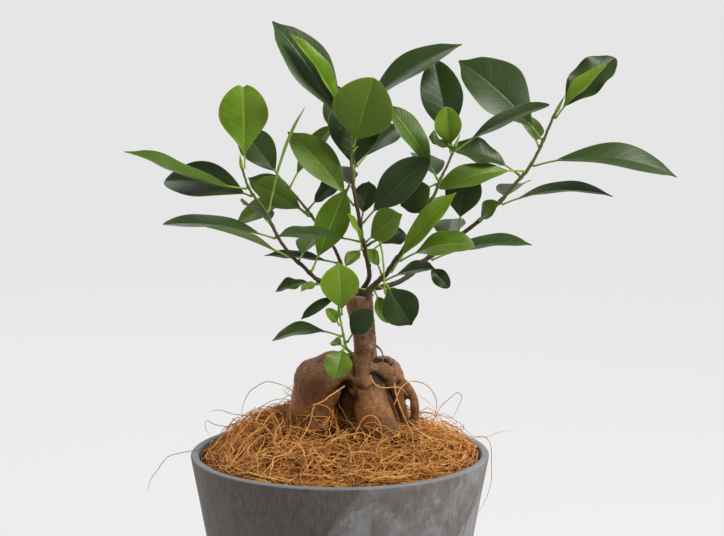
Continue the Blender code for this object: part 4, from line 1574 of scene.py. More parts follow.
@dataclass
class Leaf:
    """One leaf's fine mesh: a stalk, and a blade with a rib below and a quilted upper side."""

    name: str
    form: LeafForm
    habit: LeafHabit
    home: Branch
    rows: int = 36
    thickness: float = 0.00042
    rib: float = 0.0006
    rib_width: float = 0.09
    quilting: float = 0.00011
    vein_pairs: float = 9.0
    vein_slant: float = 0.2
    stalk_radius: float = 0.00062
    stalk_section: tuple[float, ...] = (1.5, 1.35, 1.0, 0.92, 0.95, 1.0, 0.55)
    stalk_end: float = 0.07
    stalk_sides: int = 8
    sink: float = 0.0012
    point_from: float = 0.84
    point_run: float = 0.13
    pointing: float = 0.38
    notch_from: float = 0.86
    notch_depth: float = 0.0017
    curl_from: float = 0.7
    cup: float = 0.35
    side_shift: float = 1.9
    columns: tuple[float, ...] = (-1.0, -0.97, -0.88, -0.72, -0.52, -0.32, -0.13, -0.045, 0.0,
                                  0.045, 0.13, 0.32, 0.52, 0.72, 0.88, 0.97, 1.0)

    def half_width(self, u: float) -> float:
        """Half the blade's width, with its own kind of tip.

        Args:
            u: share of the blade's length.

        Returns:
            Half the width.
        """
        power = TIP_POWERS[self.habit.tip]
        half = outline(u, self.form.width * self.habit.slim, self.form.belly, power, self.habit.wedge)
        if self.habit.tip is Tip.POINTED:
            run = min(1.0, max(0.0, (u - self.point_from) / self.point_run))
            half *= 1 - self.pointing * run * run * (3 - 2 * run)
        return half

    def skin(self, u: float, v: float, phase: float) -> tuple[Vector, Vector]:
        """A point of the blade's middle layer and its upward direction.

        Args:
            u: share of the blade's length.
            v: place across it, from -1 to 1.
            phase: shifts this leaf's ripple.

        Returns:
            The point and the direction.
        """
        form, side_of = self.form, abs(v)
        share = form.stalk + (1 - form.stalk) * u
        centre, along = form.path.point(share), form.path.heading(share)
        up = form.up(share)
        up = (up - along * up.dot(along)).normalized()
        side = along.cross(up)
        reach = self.half_width(u) * side_of
        lift = reach * math.sin(form.fold) * (1 + self.cup - self.cup * side_of)
        mask = math.sin(math.pi * min(1.0, u * 1.05)) if u < 0.95 else 0.1
        ripple = self.habit.ripple * MM * side_of**2 * math.sin(
            math.tau * self.habit.waves * u + phase + (self.side_shift if v > 0 else 0.0)) * mask
        vein = math.tau * self.vein_pairs * (u - self.vein_slant * side_of)
        quilt = self.quilting * math.cos(vein) * min(1.0, side_of * 4) * (1 - side_of**4)
        curl = self.habit.curl * MM * (max(0.0, u - self.curl_from) / (1 - self.curl_from)) ** 2
        notch = 0.0
        if self.habit.tip is Tip.NOTCHED and u > self.notch_from:
            run = (u - self.notch_from) / (1 - self.notch_from)
            notch = -self.notch_depth * run * max(0.0, 1 - side_of * 1.3)
        spot = centre + side * (math.copysign(reach, v) * math.cos(form.fold)) + along * notch
        return spot + up * (lift + ripple + quilt + curl), up

    def mesh(self) -> bpy.types.Mesh:
        """Builds the leaf with its map and measures.

        Returns:
            Its mesh.
        """
        draw = random.Random(self.name)
        phase, tone = draw.uniform(0.0, math.tau), draw.uniform(0.0, 1.0)
        bm = bmesh.new()
        spots, rings = [], []
        first, last, evenness = 0.012, 0.992, 0.55
        for k in range(self.rows):
            t = k / (self.rows - 1)
            eased = 0.5 - 0.5 * math.cos(math.pi * t)
            u = first + (last - first) * (evenness * t + (1 - evenness) * eased)
            top, low, marks = [], [], []
            for v in self.columns:
                spot, up = self.skin(u, v, phase)
                thin = self.thickness / 2 * (1.0 - 0.5 * abs(v) ** 4)
                rib = self.rib * max(0.0, 1 - abs(v) / self.rib_width) * (1 - 0.8 * u)
                top.append(spot + up * (thin - 0.25 * rib))
                low.append(spot - up * (thin + rib))
                marks.append((u, 0.5 + 0.5 * v))
            rings.append([*top, *low[::-1]])
            spots.append([*[(m, 0.0) for m in marks], *[(m, 1.0) for m in marks[::-1]]])
        apex = self.skin(1.0, 0.0, phase)[0]
        rows = rings_to_mesh(bm, rings, apex)
        spots.append([((1.0, 0.5), 0.0)])
        marks = {v: mark for row, notes in zip(rows, spots) for v, mark in zip(row, notes)}
        stalk = {v for row in self.stalk_rows(bm) for v in row}
        layer = bm.loops.layers.uv.new("blade")
        for face in bm.faces:
            for loop in face.loops:
                loop[layer].uv = marks[loop.vert][0] if loop.vert in marks else (0.0, 0.5)
        bm.verts.index_update()
        under = [marks[v][1] if v in marks else 0.0 for v in bm.verts]
        stalks = [float(v in stalk) for v in bm.verts]
        mesh = mesh_from(bm, self.name + "_blade")
        set_values(mesh, "under", under)
        set_values(mesh, "stalk", stalks)
        set_values(mesh, "tone", [tone] * len(under))
        return mesh

    def stalk_rows(self, bm: bmesh.types.BMesh) -> list[list[bmesh.types.BMVert]]:
        """Adds the stalk, from inside the bark to inside the blade's foot.

        Args:
            bm: the leaf's mesh.

        Returns:
            The stalk's corners, ring by ring.
        """
        form, home = self.form, self.home.path
        foot = form.path.point(0.0)
        bark = home.point(home.nearest(foot))
        inwards = (bark - foot).normalized() * self.sink
        shares = [0.0, 0.3, 0.6, 0.85, 1.0]
        centres = [foot + inwards, *[form.path.point(form.stalk * s) for s in shares],
                   form.path.point(form.stalk + self.stalk_end * (1 - form.stalk))]
        radii = [self.stalk_radius * s for s in self.stalk_section]
        return rings_to_mesh(bm, tube_rings(centres, radii, self.stalk_sides))


@dataclass
class Foliage:
    """Every leaf, each a piece of its own on the stem that bears it."""

    branches: Branches
    leaves: list[tuple[Leaf, LeafAge]] = field(default_factory=list)

    def nearest_branch(self, foot: Vector) -> Branch:
        """The stem whose bark is nearest a leaf's foot."""
        return min(self.branches.built.values(), key=lambda branch: branch.gap(foot))

    def plan(self) -> None:
        """Reads the CAD leaves, lays out the others and marks their feet on the stems."""
        slots = {row["node"]: row["material_slot"] for row in frame["record"]["subparts"]}
        for node in sorted(n for n in frame["nodes"] if "_leaf" in n):
            form = LeafForm.from_cad(node)
            home = self.nearest_branch(form.path.point(0.0))
            self.leaves.append((Leaf(node, form, HABITS.get(node, self.usual_habit(node)), home),
                                LeafAge(slots[node])))
        for row in EXTRA_LEAVES:
            home = self.branches.built[row.stem]
            habit = HABITS.get(row.name, self.usual_habit(row.name))
            leaf = Leaf(row.name, LeafForm.from_row(row, home), habit, home)
            self.leaves.append((leaf, row.age))
        for leaf, _ in self.leaves:
            line = leaf.home.path
            leaf.home.feet.append(line.nearest(leaf.form.path.point(0.0)))

    def usual_habit(self, name: str) -> LeafHabit:
        """Draws a leaf's habit from its name: mostly pointed, some blunt.

        Args:
            name: the leaf's name.

        Returns:
            The habit.
        """
        draw = random.Random(name + "_habit")
        tip = Tip.BLUNT if draw.random() < 0.3 else Tip.POINTED
        return LeafHabit(tip, draw.uniform(0.4, 1.1), draw.uniform(1.0, 2.1),
                         wedge=draw.uniform(0.85, 1.15))

    def build(self) -> None:
        """Makes every leaf."""
        paints = {finish.age: finish.material() for finish in LEAF_FINISHES}
        for leaf, age in self.leaves:
            from_cad = leaf.name in frame["nodes"]
            name = leaf.name.replace("_leaf", "_blade") if from_cad else leaf.name + "_leaf"
            add_piece(name, leaf.mesh(), paints[age], age.value, [leaf.name] if from_cad else (),
                      crisp=60.0)


# --- Mulch -----------------------------------------------------------------------------------


class FibreTree(Bench):
    """Geometry nodes that strew bent fibres over a ground, round the roots.

    SIZES are the inputs that a FibreLayer sets. BENDS holds the scale and share of each wave that
    bends the fibres sideways, and BUCKLE_SCALE belongs to the wave that bends them up and down.
    CLEARANCE is how many of its own radii a fibre keeps off the bark.
    """

    SIZES = ("Density", "Length", "Radius", "Wander", "Depth", "Lift", "Arch", "Reach", "Tone")
    FIELDS = {"Ground": "Object", "Roots": "Object", **dict.fromkeys(SIZES, "Float"),
              "Finish": "Material", "Seed": "Int"}
    BENDS = ((24.0, 1.0), (70.0, 0.36))
    BUCKLE_SCALE = 45.0
    CLEARANCE = 1.6
    TAPER_POWER = 0.35
    SIDES = 3

    def __init__(self, segments: int) -> None:
        """Builds the tree.

        Args:
            segments: spans to a fibre.
        """
        super().__init__(bpy.data.node_groups.new(f"fibres_{segments}", "GeometryNodeTree"))
        face = self.tree.interface
        for way in ("INPUT", "OUTPUT"):
            face.new_socket(name="Geometry", in_out=way, socket_type="NodeSocketGeometry")
        self.ids = {name: face.new_socket(name=name, in_out="INPUT",
                                          socket_type="NodeSocket" + kind).identifier
                    for name, kind in self.FIELDS.items()}
        self.given = self.node("NodeGroupInput")
        fibres = self.skinned(self.cleared(self.laid(self.strewn(segments))))
        self.node("NodeGroupOutput", {"Geometry": fibres})

    def value(self, name: str) -> bpy.types.NodeSocket:
        """One of the tree's inputs."""
        return self.out(self.given, name)

    def draw(self, low: object, high: object, shift: int, kind: str = "FLOAT") -> bpy.types.NodeSocket:
        """Draws a random value for each fibre.

        Args:
            low: the least value.
            high: the greatest.
            shift: what is added to the seed, to make each draw its own.
            kind: the value's type.

        Returns:
            The value.
        """
        owner = self.out(self.node("GeometryNodeCurveOfPoint"), "Curve Index")
        return self.out(self.node("FunctionNodeRandomValue", {
            "Min": low, "Max": high, "ID": owner, "Seed": self.plus(self.value("Seed"), float(shift))},
            data_type=kind))

    def dice(self, low: object, high: object, shift: int = 0,
             kind: str = "FLOAT") -> bpy.types.NodeSocket:
        """Draws a random value for each spot where a fibre is put.

        Args:
            low: the least value.
            high: the greatest.
            shift: what is added to the seed.
            kind: the value's type.

        Returns:
            The value.
        """
        seed = self.plus(self.value("Seed"), float(shift)) if shift else self.value("Seed")
        return self.out(self.node("FunctionNodeRandomValue", {"Min": low, "Max": high, "Seed": seed},
                                  data_type=kind))

    def strewn(self, segments: int) -> bpy.types.NodeSocket:
        """Strews arched fibres, turned, sized and bowed at random, then bent by noise.

        Args:
            segments: spans to a fibre.

        Returns:
            The fibres as curves.
        """
        spots = self.node("GeometryNodeDistributePointsOnFaces", {
            "Mesh": self.value("Geometry"), **{k: self.value(k) for k in ("Density", "Seed")}})
        fibre = self.node("GeometryNodeCurveArc", {"Resolution": segments + 1, "Radius": 0.5,
                                                   "Start Angle": 0.0, "Sweep Angle": math.pi * 1.1})
        turn = self.dice((0.0, 0.0, 0.0), (0.0, 0.0, math.tau), kind="FLOAT_VECTOR")
        reach = self.times(self.dice(0.5, 1.4), self.value("Length"))
        bow = self.times(reach, self.dice(-0.9, 0.9, 5))
        scale = self.out(self.node("ShaderNodeCombineXYZ", {0: reach, 1: bow, 2: reach}))
        placed = self.node("GeometryNodeInstanceOnPoints", {
            "Points": self.out(spots, "Points"), "Instance": self.out(fibre), "Rotation": turn,
            "Scale": scale})
        fibres = self.out(self.node("GeometryNodeRealizeInstances", {"Geometry": self.out(placed)}))
        shift = self.draw((-9.0, -9.0, -9.0), (9.0, 9.0, 9.0), 11, "FLOAT_VECTOR")
        spot = self.out(self.node("GeometryNodeInputPosition"))
        bends = []
        for scale, share in self.BENDS:
            sample = self.vector("ADD", self.vector("SCALE", spot, scale=scale), shift)
            wave = self.vector("SUBTRACT", self.noise(sample, 1.0, 1.0, out="Color"), (0.5, 0.5, 0.5))
            bends.append(self.vector("SCALE", wave, scale=self.times(self.value("Wander"), share * 2)))
        bend = self.vector("ADD", *bends)
        return self.out(self.node("GeometryNodeSetPosition", {"Geometry": fibres, "Offset": bend}))

    def laid(self, fibres: bpy.types.NodeSocket) -> bpy.types.NodeSocket:
        """Drops the fibres on the ground, each at its own depth in the mat and its own arch.

        Args:
            fibres: the bent fibres.

        Returns:
            The fibres in their places.
        """
        spot = self.out(self.node("GeometryNodeInputPosition"))
        flat = self.vector("MULTIPLY", spot, (1.0, 1.0, 0.0))
        far = self.math("MAXIMUM", self.vector("LENGTH", flat, out="Value"), 1e-5)
        edge = self.times(self.value("Reach"), self.draw(0.86, 1.0, 83))
        inside = self.math("MINIMUM", self.math("DIVIDE", edge, far), 1.0)
        held = self.vector("SCALE", flat, scale=inside)
        ground = self.node("GeometryNodeObjectInfo", {"Object": self.value("Ground")})
        drop = self.node("GeometryNodeRaycast", {
            "Target Geometry": self.out(ground, "Geometry"),
            "Attribute": self.out(self.node("GeometryNodeInputNamedAttribute", {"Name": "fluff"})),
            "Source Position": self.vector("ADD", held, (0.0, 0.0, 0.6)),
            "Ray Direction": (0.0, 0.0, -1.0), "Ray Length": 1.0})
        level = self.times(self.draw(0.0, 1.0, 23), self.value("Depth"))
        deep = self.times(level, self.out(drop, "Attribute"))
        along = self.out(self.node("GeometryNodeSplineParameter"), "Factor")
        hump = self.times(self.math("SINE", self.times(along, math.pi)), self.value("Arch"))
        arch = self.times(hump, self.draw(0.1, 1.0, 31))
        lift = self.times(self.draw(0.0, 1.0, 47), self.value("Lift"))
        rise = self.plus(self.plus(deep, arch), lift)
        shift = self.draw((-1.0, -1.0, -1.0), (1.0, 1.0, 1.0), 53, "FLOAT_VECTOR")
        sample = self.vector("SCALE", self.vector("ADD", spot, shift), scale=self.BUCKLE_SCALE)
        buckle = self.times(self.math("SUBTRACT", self.noise(sample, 1.0, 1.0), 0.5),
                            self.times(self.value("Wander"), 0.3))
        x, y, _ = self.parts(held)
        _, _, base = self.parts(self.out(drop, "Hit Position"))
        high = self.plus(self.plus(base, rise), buckle)
        goal = self.out(self.node("ShaderNodeCombineXYZ", {0: x, 1: y, 2: high}))
        return self.out(self.node("GeometryNodeSetPosition", {"Geometry": fibres, "Position": goal}))

    def cleared(self, fibres: bpy.types.NodeSocket) -> bpy.types.NodeSocket:
        """Pushes the fibres out of the roots, so that they lie against the bark.

        Args:
            fibres: the fibres in their places.

        Returns:
            The fibres clear of the roots.
        """
        roots = self.node("GeometryNodeObjectInfo", {"Object": self.value("Roots")})
        roots = self.out(roots, "Geometry")
        spot = self.out(self.node("GeometryNodeInputPosition"))
        close = self.node("GeometryNodeProximity", {0: roots}, target_element="FACES")
        facing = self.out(self.node("GeometryNodeSampleNearestSurface", {
            "Mesh": roots, "Value": self.out(self.node("GeometryNodeInputNormal"), "Normal")},
            data_type="FLOAT_VECTOR"))
        off_bark = self.vector("SUBTRACT", spot, self.out(close, "Position"))
        gap = self.vector("DOT_PRODUCT", off_bark, facing, out="Value")
        wanted = self.times(self.value("Radius"), self.CLEARANCE)
        lack = self.math("MAXIMUM", self.math("SUBTRACT", wanted, gap), 0.0)
        push = self.vector("SCALE", facing, scale=lack)
        return self.out(self.node("GeometryNodeSetPosition", {"Geometry": fibres, "Offset": push}))

    def skinned(self, fibres: bpy.types.NodeSocket) -> bpy.types.NodeSocket:
        """Gives the fibres thin tapered skins, each with its own shade.

        Args:
            fibres: the fibres as curves.

        Returns:
            The fibres as meshes with their material.
        """
        # each fibre's shade is random, raised by its layer's tone; the low tones of the lower layers are
        # painted shade
        shade = self.plus(self.draw(0.0, 0.45, 61), self.value("Tone"))
        shaded = self.node("GeometryNodeStoreNamedAttribute", {
            "Geometry": fibres, "Name": "shade", "Value": shade}, data_type="FLOAT", domain="POINT")
        along = self.out(self.node("GeometryNodeSplineParameter"), "Factor")
        turn = self.math("MULTIPLY_ADD", along, math.pi * 0.94, math.pi * 0.03)
        taper = self.math("POWER", self.math("SINE", turn), self.TAPER_POWER)
        size = self.times(self.draw(0.55, 1.25, 71), taper)
        section = self.node("GeometryNodeCurvePrimitiveCircle", {
            "Resolution": self.SIDES, "Radius": self.value("Radius")})
        tube = self.node("GeometryNodeCurveToMesh", {
            "Curve": self.out(shaded), "Profile Curve": self.out(section), "Scale": size,
            "Fill Caps": True})
        solid = self.node("GeometryNodeRealizeInstances", {"Geometry": self.out(tube)})
        return self.out(self.node("GeometryNodeSetMaterial", {
            "Geometry": self.out(solid), "Material": self.value("Finish")}))


@dataclass(frozen=True)
class FibreLayer:
    """One layer of loose coir, in metres: how many fibres, their size, and how they lie.

    density is fibres to a square metre, and wander is how far they bend. depth is how high in the
    pile they lie, as a share of it, lift is how far some stand above that, and arch how far their
    middles rise. reach is how far out they go, tone their shade, and segments spans to a fibre.
    """

    name: str
    density: float
    length: float
    radius: float
    wander: float
    depth: float
    lift: float
    arch: float
    reach: float
    tone: float
    seed: int
    segments: int = 12


# tone rises from the lowest mats to the top tangles: painted shade, darker strands deeper in the pile
FIBRE_LAYERS = (
    FibreLayer("coir_mat_a", 30000, 0.022, 0.00040, 0.012, 0.30, 0.0005, 0.001, 0.0888, -0.1, 101, 14),
    FibreLayer("coir_mat_b", 32000, 0.024, 0.00038, 0.013, 0.55, 0.001, 0.002, 0.0888, 0.0, 202, 14),
    FibreLayer("coir_tangle_a", 32000, 0.028, 0.00036, 0.015, 0.8, 0.001, 0.003, 0.0888, 0.14, 303, 20),
    FibreLayer("coir_tangle_b", 28000, 0.031, 0.00036, 0.018, 1.0, 0.001, 0.004, 0.0888, 0.35, 404, 22),
    FibreLayer("coir_tangle_c", 15000, 0.036, 0.0004, 0.022, 1.05, 0.0015, 0.005, 0.0888, 0.52, 707, 26),
    FibreLayer("coir_loops", 7000, 0.040, 0.00030, 0.024, 1.1, 0.002, 0.012, 0.0890, 0.5, 505, 28),
    FibreLayer("coir_strays", 1300, 0.046, 0.00024, 0.030, 1.1, 0.003, 0.020, 0.0900, 0.5, 606, 28),
)


@dataclass(frozen=True)
class MoundSide:
    """How the mulch falls away to one side.

    bearing is in degrees from +X; rise is its top over the rim at the middle and edge at the wall,
    in metres; a larger power makes a fuller shoulder; weight is how widely the side reaches.
    """

    bearing: float
    rise: float
    edge: float
    power: float
    weight: float = 1.0


@dataclass
class Mulch:
    """Coir over the soil: a packed layer, and loose fibres strewn on it."""

    pot: Pot
    trunk: RootedTrunk
    sides: tuple[MoundSide, ...] = (
        MoundSide(-90.0, 0.0185, -0.0030, 1.3, 2.0), MoundSide(0.0, 0.0205, -0.0040, 3.0),
        MoundSide(90.0, 0.0230, -0.0060, 3.0), MoundSide(180.0, 0.0285, -0.0130, 3.0))
    pile: float = 0.0090
    unevenness: float = 0.0030
    uneven_scale: float = 34.0
    rim_cover: float = 0.0008
    spill_slope: float = 1.6
    least_pile: float = 0.0004
    bed_voxel: float = 0.0014
    bed_drop: float = 0.0025
    bed_lump: float = 0.0020
    bed_scale: float = 130.0
    root_overlap: float = 0.002
    grid_rings: int = 46
    grid_turns: int = 128
    ground_radius: float = 0.112

    def crest(self, radius: float, angle: float) -> float:
        """How high the loose fibres' tops stand, blended from the mound's four sides.

        Args:
            radius: distance from the middle.
            angle: bearing, in radians.

        Returns:
            The height.
        """
        share = min(1.0, radius / (self.pot.rim_radius - self.pot.wall))
        total = high = 0.0
        for side in self.sides:
            weight = side.weight * max(0.0, math.cos(angle - math.radians(side.bearing))) ** 2
            total += weight
            high += weight * (side.edge + (side.rise - side.edge) * (1 - share**side.power))
        spot = Vector((radius * math.cos(angle), radius * math.sin(angle), 0.3))
        uneven = noise.fractal(spot * self.uneven_scale, 0.9, 2.0, 2) * self.unevenness
        return self.pot.height + high / total + uneven * (1 - share**4)

    def height(self, radius: float, angle: float) -> float:
        """The ground of the loose fibres; past the rim it falls away outside the pot.

        Args:
            radius: distance from the middle.
            angle: bearing, in radians.

        Returns:
            The height.
        """
        wall = self.pot.rim_radius - self.pot.wall
        if radius <= wall:
            return self.crest(radius, angle) - self.loft(radius)
        over = self.pot.height + self.rim_cover
        return over - self.spill_slope * max(0.0, radius - self.pot.rim_radius)

    def loft(self, radius: float) -> float:
        """How deep the loose fibres lie at a distance from the middle."""
        share = min(1.0, radius / self.pot.rim_radius)
        return self.pile * (1 - share**7) + self.least_pile

    def ground(self, clear: float) -> bpy.types.Object:
        """A round grid over the pot.

        Args:
            clear: the grid leaves out what is further than this inside the roots' bark;
                infinity keeps all of it.

        Returns:
            A scratch object with the depth of loose fibre as its fluff attribute.
        """
        bm = bmesh.new()
        rows, depths = [], {}
        turns = [math.tau * i / self.grid_turns for i in range(self.grid_turns)]
        for k in range(1, self.grid_rings + 1):
            radius = self.ground_radius * k / self.grid_rings
            rows.append(level_ring(bm, radius, [self.height(radius, angle) for angle in turns]))
            depths.update({vertex: self.loft(radius) for vertex in rows[-1]})
        middle = bm.verts.new((0, 0, self.height(0.0, 0.0)))
        depths[middle] = self.loft(0.0)
        skin_disc(bm, middle, rows)
        if clear < math.inf:
            hidden = [f for f in bm.faces if self.inside_roots(f.calc_center_median(), clear)
                      or f.calc_center_median().xy.length > self.pot.rim_radius - self.pot.wall]
            bmesh.ops.delete(bm, geom=hidden, context="FACES")
        bm.verts.index_update()
        values = [depths[v] for v in bm.verts]
        mesh = mesh_from(bm, "mulch_ground")
        set_values(mesh, "fluff", values)
        return bench_object("mulch_ground", mesh)

    def inside_roots(self, spot: Vector, clear: float) -> bool:
        """Whether a spot is further inside the bark than a distance."""
        on_bark, facing, _, _ = self.trunk.tree.find_nearest(spot)
        return (spot - on_bark).dot(facing) < -clear

    def bed_mesh(self) -> bpy.types.Mesh:
        """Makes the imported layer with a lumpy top.

        Returns:
            Its mesh.
        """
        mesh = remeshed("packed_coir", merged_copy("coir_mulch"), self.bed_voxel, 1)
        place, facing = corners(mesh), facings(mesh)
        for k in np.flatnonzero(facing[:, 2] > 0.1):
            x, y, z = (float(c) for c in place[k])
            lump = noise.fractal(Vector((x, y, 0.2)) * self.bed_scale, 0.8, 2.0, 4) - 0.15
            top = self.height(math.hypot(x, y), math.atan2(y, x)) - self.bed_drop
            place[k, 2] = min(z, top) + self.bed_lump * lump * min(1.0, facing[k, 2] * 2)
        move_corners(mesh, place)
        return mesh

    def build(self) -> None:
        """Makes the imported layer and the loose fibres."""
        finish = CoirFinish()
        bed = self.bed_mesh()
        bed.materials.clear()
        add_piece("coir_bed", bed, finish.bed_material(), "coir", ["coir_mulch"], crisp=80.0)
        strand = finish.material()
        ground, source = self.ground(math.inf), self.ground(self.root_overlap)
        roots = frame["nodes"]["trunk_with_roots"]
        trees = {n: FibreTree(n) for n in sorted({layer.segments for layer in FIBRE_LAYERS})}
        for layer in FIBRE_LAYERS:
            tree = trees[layer.segments]
            worked = bench_object(layer.name + "_source", source.data)
            strew = worked.modifiers.new("strew", "NODES")
            strew.node_group = tree.tree
            wanted = {"Ground": ground, "Roots": roots, "Finish": strand, "Seed": layer.seed}
            wanted.update({name: getattr(layer, name.lower()) for name in FibreTree.SIZES})
            for name, value in wanted.items():
                strew[tree.ids[name]] = value
            add_piece(layer.name, evaluated(worked, layer.name), strand, "coir", crisp=90.0)
        for scratch in (ground, source):
            bpy.data.objects.remove(scratch, do_unlink=True)
        build_strands(strand)


@dataclass(frozen=True)
class Strand:
    """One fibre that stands free of the rest.

    route is in millimetres and radius in metres; shade goes from 0, dark, to 1, pale.
    """

    name: str
    route: tuple[tuple[float, float, float], ...]
    radius: float = 0.00034
    shade: float = 0.7


STRANDS = (
    Strand("left_drape", ((-74, -30, 184), (-83, -30, 187), (-91, -22, 185), (-100, -15, 182),
        (-109, -10, 178), (-115, -8, 170), (-120, -8, 163), (-122, -8, 156)), 0.00026, 0.3),
    Strand("right_drape", ((82, 0, 186), (88, 0, 189), (93, 2, 188), (96.5, 4, 182), (97, 4, 171),
        (97, 4, 160), (94, 4, 148), (89, 2, 139)), 0.00022, 0.5),
    Strand("right_far", ((76, 8, 184), (84, 10, 187), (93, 14, 185), (102, 16, 188), (112, 18, 189)),
        0.0002),
    Strand("cavity_strand", ((3, -22, 226), (-3, -34, 224), (-6, -38, 223), (-9, -42, 221),
        (-14, -44, 219), (-16, -46, 216), (-17, -48, 210), (-20, -52, 204), (-24, -58, 199),
        (-30, -62, 192)), 0.00042),
    Strand("cavity_fork", ((-16, -46, 219), (-14, -45, 219.6), (-8, -44, 218), (-4, -44, 214),
        (-1, -42, 206), (1, -42, 198)), 0.00034, 0.6),
    Strand("slim_loop", ((34, -30, 216), (38, -24, 225), (45, -16, 228), (54, -12, 225), (59, -10, 219),
        (61, -10, 213), (60, -12, 206), (57, -16, 198)), 0.00034),
    Strand("right_leg", ((34, -34, 230), (34, -38, 228), (35, -41, 224), (37, -44, 218), (40, -46, 211),
        (44, -50, 203), (45, -56, 195)), 0.0004),
    Strand("hairpin", ((9, -54, 200), (11, -52, 205), (14, -52, 211), (18, -52, 214), (22, -52, 213),
        (25, -52, 209), (26, -53, 201)), 0.00042),
    Strand("shoulder_wisp", ((19, -38, 236), (20, -41, 234), (22, -42, 231), (27, -42, 229),
        (34, -40, 229), (39, -36, 227), (42, -32, 222)), 0.00034, 0.85),
    Strand("left_wisp_high", ((-28, -12, 218), (-32, -8, 222), (-39, -4, 224), (-46, -2, 225),
        (-52, 0, 222), (-58, 2, 217), (-62, 3, 208), (-63, 3, 200)), 0.00026, 0.6),
    Strand("left_wisp_low", ((-42, 4, 202), (-50, 4, 204), (-59, 4, 202), (-69, 4, 203), (-77, 6, 205),
        (-83, 6, 204)), 0.0003, 0.5),
    Strand("left_hook", ((-56, 0, 197), (-64, 0, 196), (-72, -2, 196), (-80, -4, 198), (-84, -6, 201),
        (-85, -8, 197), (-82, -10, 192)), 0.0003, 0.7),
    Strand("right_wisp", ((58, 6, 194), (64, 8, 206), (70, 8, 212), (75, 8, 216), (78, 8, 213),
        (76, 9, 207), (72, 10, 198)), 0.00024, 0.6),
    Strand("left_fall", ((-52, -28, 204), (-60, -30, 206), (-67, -32, 200), (-71, -34, 190),
        (-75, -36, 181)), 0.00036, 0.6),
    Strand("middle_bow", ((-40, -50, 196), (-30, -56, 199), (-22, -62, 196), (-19, -70, 189),
        (-17, -78, 184)), 0.0004, 0.8),
    Strand("left_arch", ((-62, -14, 196), (-58, -18, 206), (-50, -22, 212), (-42, -26, 210),
        (-37, -31, 203), (-35, -36, 195)), 0.00034, 0.75),
)


def build_strands(finish: bpy.types.Material) -> None:
    """Makes the free fibres as one piece.

    Args:
        finish: the coir's material.
    """
    spacing, thinning, sides = 0.0016, 0.6, 6
    bm = bmesh.new()
    shades = []
    for strand in STRANDS:
        path = Path([Vector(p) * MM for p in strand.route])
        count = max(14, round(path.length / spacing))
        shares = [k / count for k in range(count + 1)]
        draw = random.Random(strand.name)
        radii = [strand.radius * draw.uniform(0.85, 1.15) * (1.0 - thinning * s**3) for s in shares]
        before = len(bm.verts)
        rings_to_mesh(bm, tube_rings([path.point(s) for s in shares], radii, sides), path.point(1.01))
        shades += [strand.shade] * (len(bm.verts) - before)
    mesh = mesh_from(bm, "coir_strands")
    set_values(mesh, "shade", shades)
    add_piece("coir_strands", mesh, finish, "coir")


# --- Rootlet ---------------------------------------------------------------------------------


@dataclass
class Rootlet:
    """The thin aerial root that hangs from the trunk's neck."""

    route: tuple[tuple[float, float, float], ...] = (
        (22.5, -6, 249), (25.5, -9.5, 247), (27.2, -12, 243.5), (27.0, -13, 240), (28.4, -12.5, 237.5))
    radius: float = 0.0007
    spans: int = 14
    sides: int = 8

    def build(self) -> None:
        """Makes the rootlet."""
        path = Path([Vector(p) * MM for p in self.route])
        shares = [k / self.spans for k in range(self.spans + 1)]
        radii = [self.radius * (1.1 - 0.75 * s) for s in shares]
        bm = bmesh.new()
        rings_to_mesh(bm, tube_rings([path.point(s) for s in shares], radii, self.sides),
                      path.point(1.02))
        mesh = mesh_from(bm, "rootlet")
        for name in ("crease", "sawn"):
            set_values(mesh, name, [0.0] * len(mesh.vertices))
        add_piece("aerial_rootlet", mesh, bpy.data.materials["bark"], "bark")


# --- Studio ----------------------------------------------------------------------------------


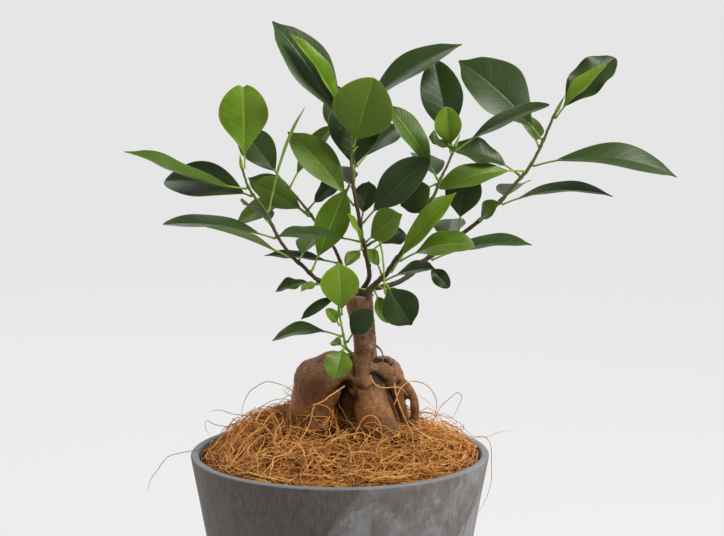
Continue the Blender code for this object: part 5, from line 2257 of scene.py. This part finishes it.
@dataclass
class Studio:
    """Pale floor that curves up into a wall all round, soft lights, and the camera.

    Lengths are in metres, but lens and sensor are in millimetres, and the pitch is in degrees.
    """

    floor_radius: float = 2.1
    cove_radius: float = 0.6
    cove_steps: int = 10
    wall_height: float = 2.6
    sides: int = 96
    tone: Colour = (0.22, 0.22, 0.22)
    glow: float = 0.65
    sky: float = 0.35
    aim: tuple[float, float, float] = (0.02, 0.0, 0.28)
    camera_place: tuple[float, float, float] = (0.014, -1.0, 0.42)
    camera_pitch: float = 83.0
    lens: float = 79.66
    sensor: float = 36.0

    def cove(self) -> None:
        """Makes the floor and wall in one turned sheet."""
        turns = [math.pi / 2 * k / self.cove_steps for k in range(self.cove_steps + 1)]
        section = [(0.0, 0.0), (self.floor_radius / 2, 0.0)]
        section += [(self.floor_radius + self.cove_radius * math.sin(a),
                     self.cove_radius * (1 - math.cos(a))) for a in turns]
        section.append((self.floor_radius + self.cove_radius, self.wall_height))
        bm = bmesh.new()
        rows = [level_ring(bm, radius, [height] * self.sides) for radius, height in section[1:]]
        skin_disc(bm, bm.verts.new((0, 0, 0)), rows)
        mesh = mesh_from(bm, "studio_cove")
        mesh.materials.append(paper_material("studio_paper", self.tone, self.glow))
        mesh.shade_smooth()
        cove = bpy.data.objects.new("studio_cove", mesh)
        bpy.context.scene.collection.objects.link(cove)

    def light(self, name: str, place: tuple[float, float, float], power: float, size: float,
              colour: Colour) -> None:
        """Adds a square soft light that looks at the plant.

        Args:
            name: its name.
            place: where it hangs.
            power: its power in watts.
            size: its side in metres.
            colour: its colour.
        """
        lamp = bpy.data.lights.new(name, "AREA")
        lamp.energy, lamp.size, lamp.color = power, size, colour
        made = bpy.data.objects.new(name, lamp)
        made.location = place
        gaze = Vector(self.aim) - Vector(place)
        made.rotation_euler = gaze.to_track_quat("-Z", "Y").to_euler()
        bpy.context.scene.collection.objects.link(made)

    def build(self) -> None:
        """Sets the stage."""
        self.cove()
        self.light("key_light", (0.8, -0.45, 1.2), 15.0, 0.45, (1.0, 0.985, 0.95))
        self.light("fill_light", (-1.5, -1.2, 1.0), 4.0, 1.4, (0.98, 0.99, 1.0))
        self.light("back_light", (-0.6, 1.3, 1.5), 6.0, 1.0, (1.0, 1.0, 1.0))
        world = bpy.data.worlds.new("soft_sky")
        world.use_nodes = True
        ground = next(n for n in world.node_tree.nodes if n.type == "BACKGROUND")
        ground.inputs["Color"].default_value = (1.0, 1.0, 1.0, 1.0)
        ground.inputs["Strength"].default_value = self.sky
        scene = bpy.context.scene
        scene.world = world
        scene.view_settings.view_transform = "Standard"
        lens = bpy.data.cameras.new("camera")
        lens.lens = self.lens
        lens.sensor_width = self.sensor
        camera = bpy.data.objects.new("camera", lens)
        camera.location = self.camera_place
        camera.rotation_euler = Euler((math.radians(self.camera_pitch), 0.0, 0.0))
        scene.collection.objects.link(camera)
        scene.camera = camera
        LOG.info("studio: cove, three lights, camera")


def main() -> None:
    """Builds every sub-assembly in order."""
    logging.basicConfig(level=logging.INFO, format="%(message)s")
    Studio().build()
    pot = Pot()
    pot.build()
    trunk = RootedTrunk()
    trunk.build()
    branches = Branches()
    branches.read()
    foliage = Foliage(branches)
    foliage.plan()
    branches.build()
    foliage.build()
    Rootlet().build()
    Mulch(pot, trunk).build()


if __name__ == "__main__":
    main()
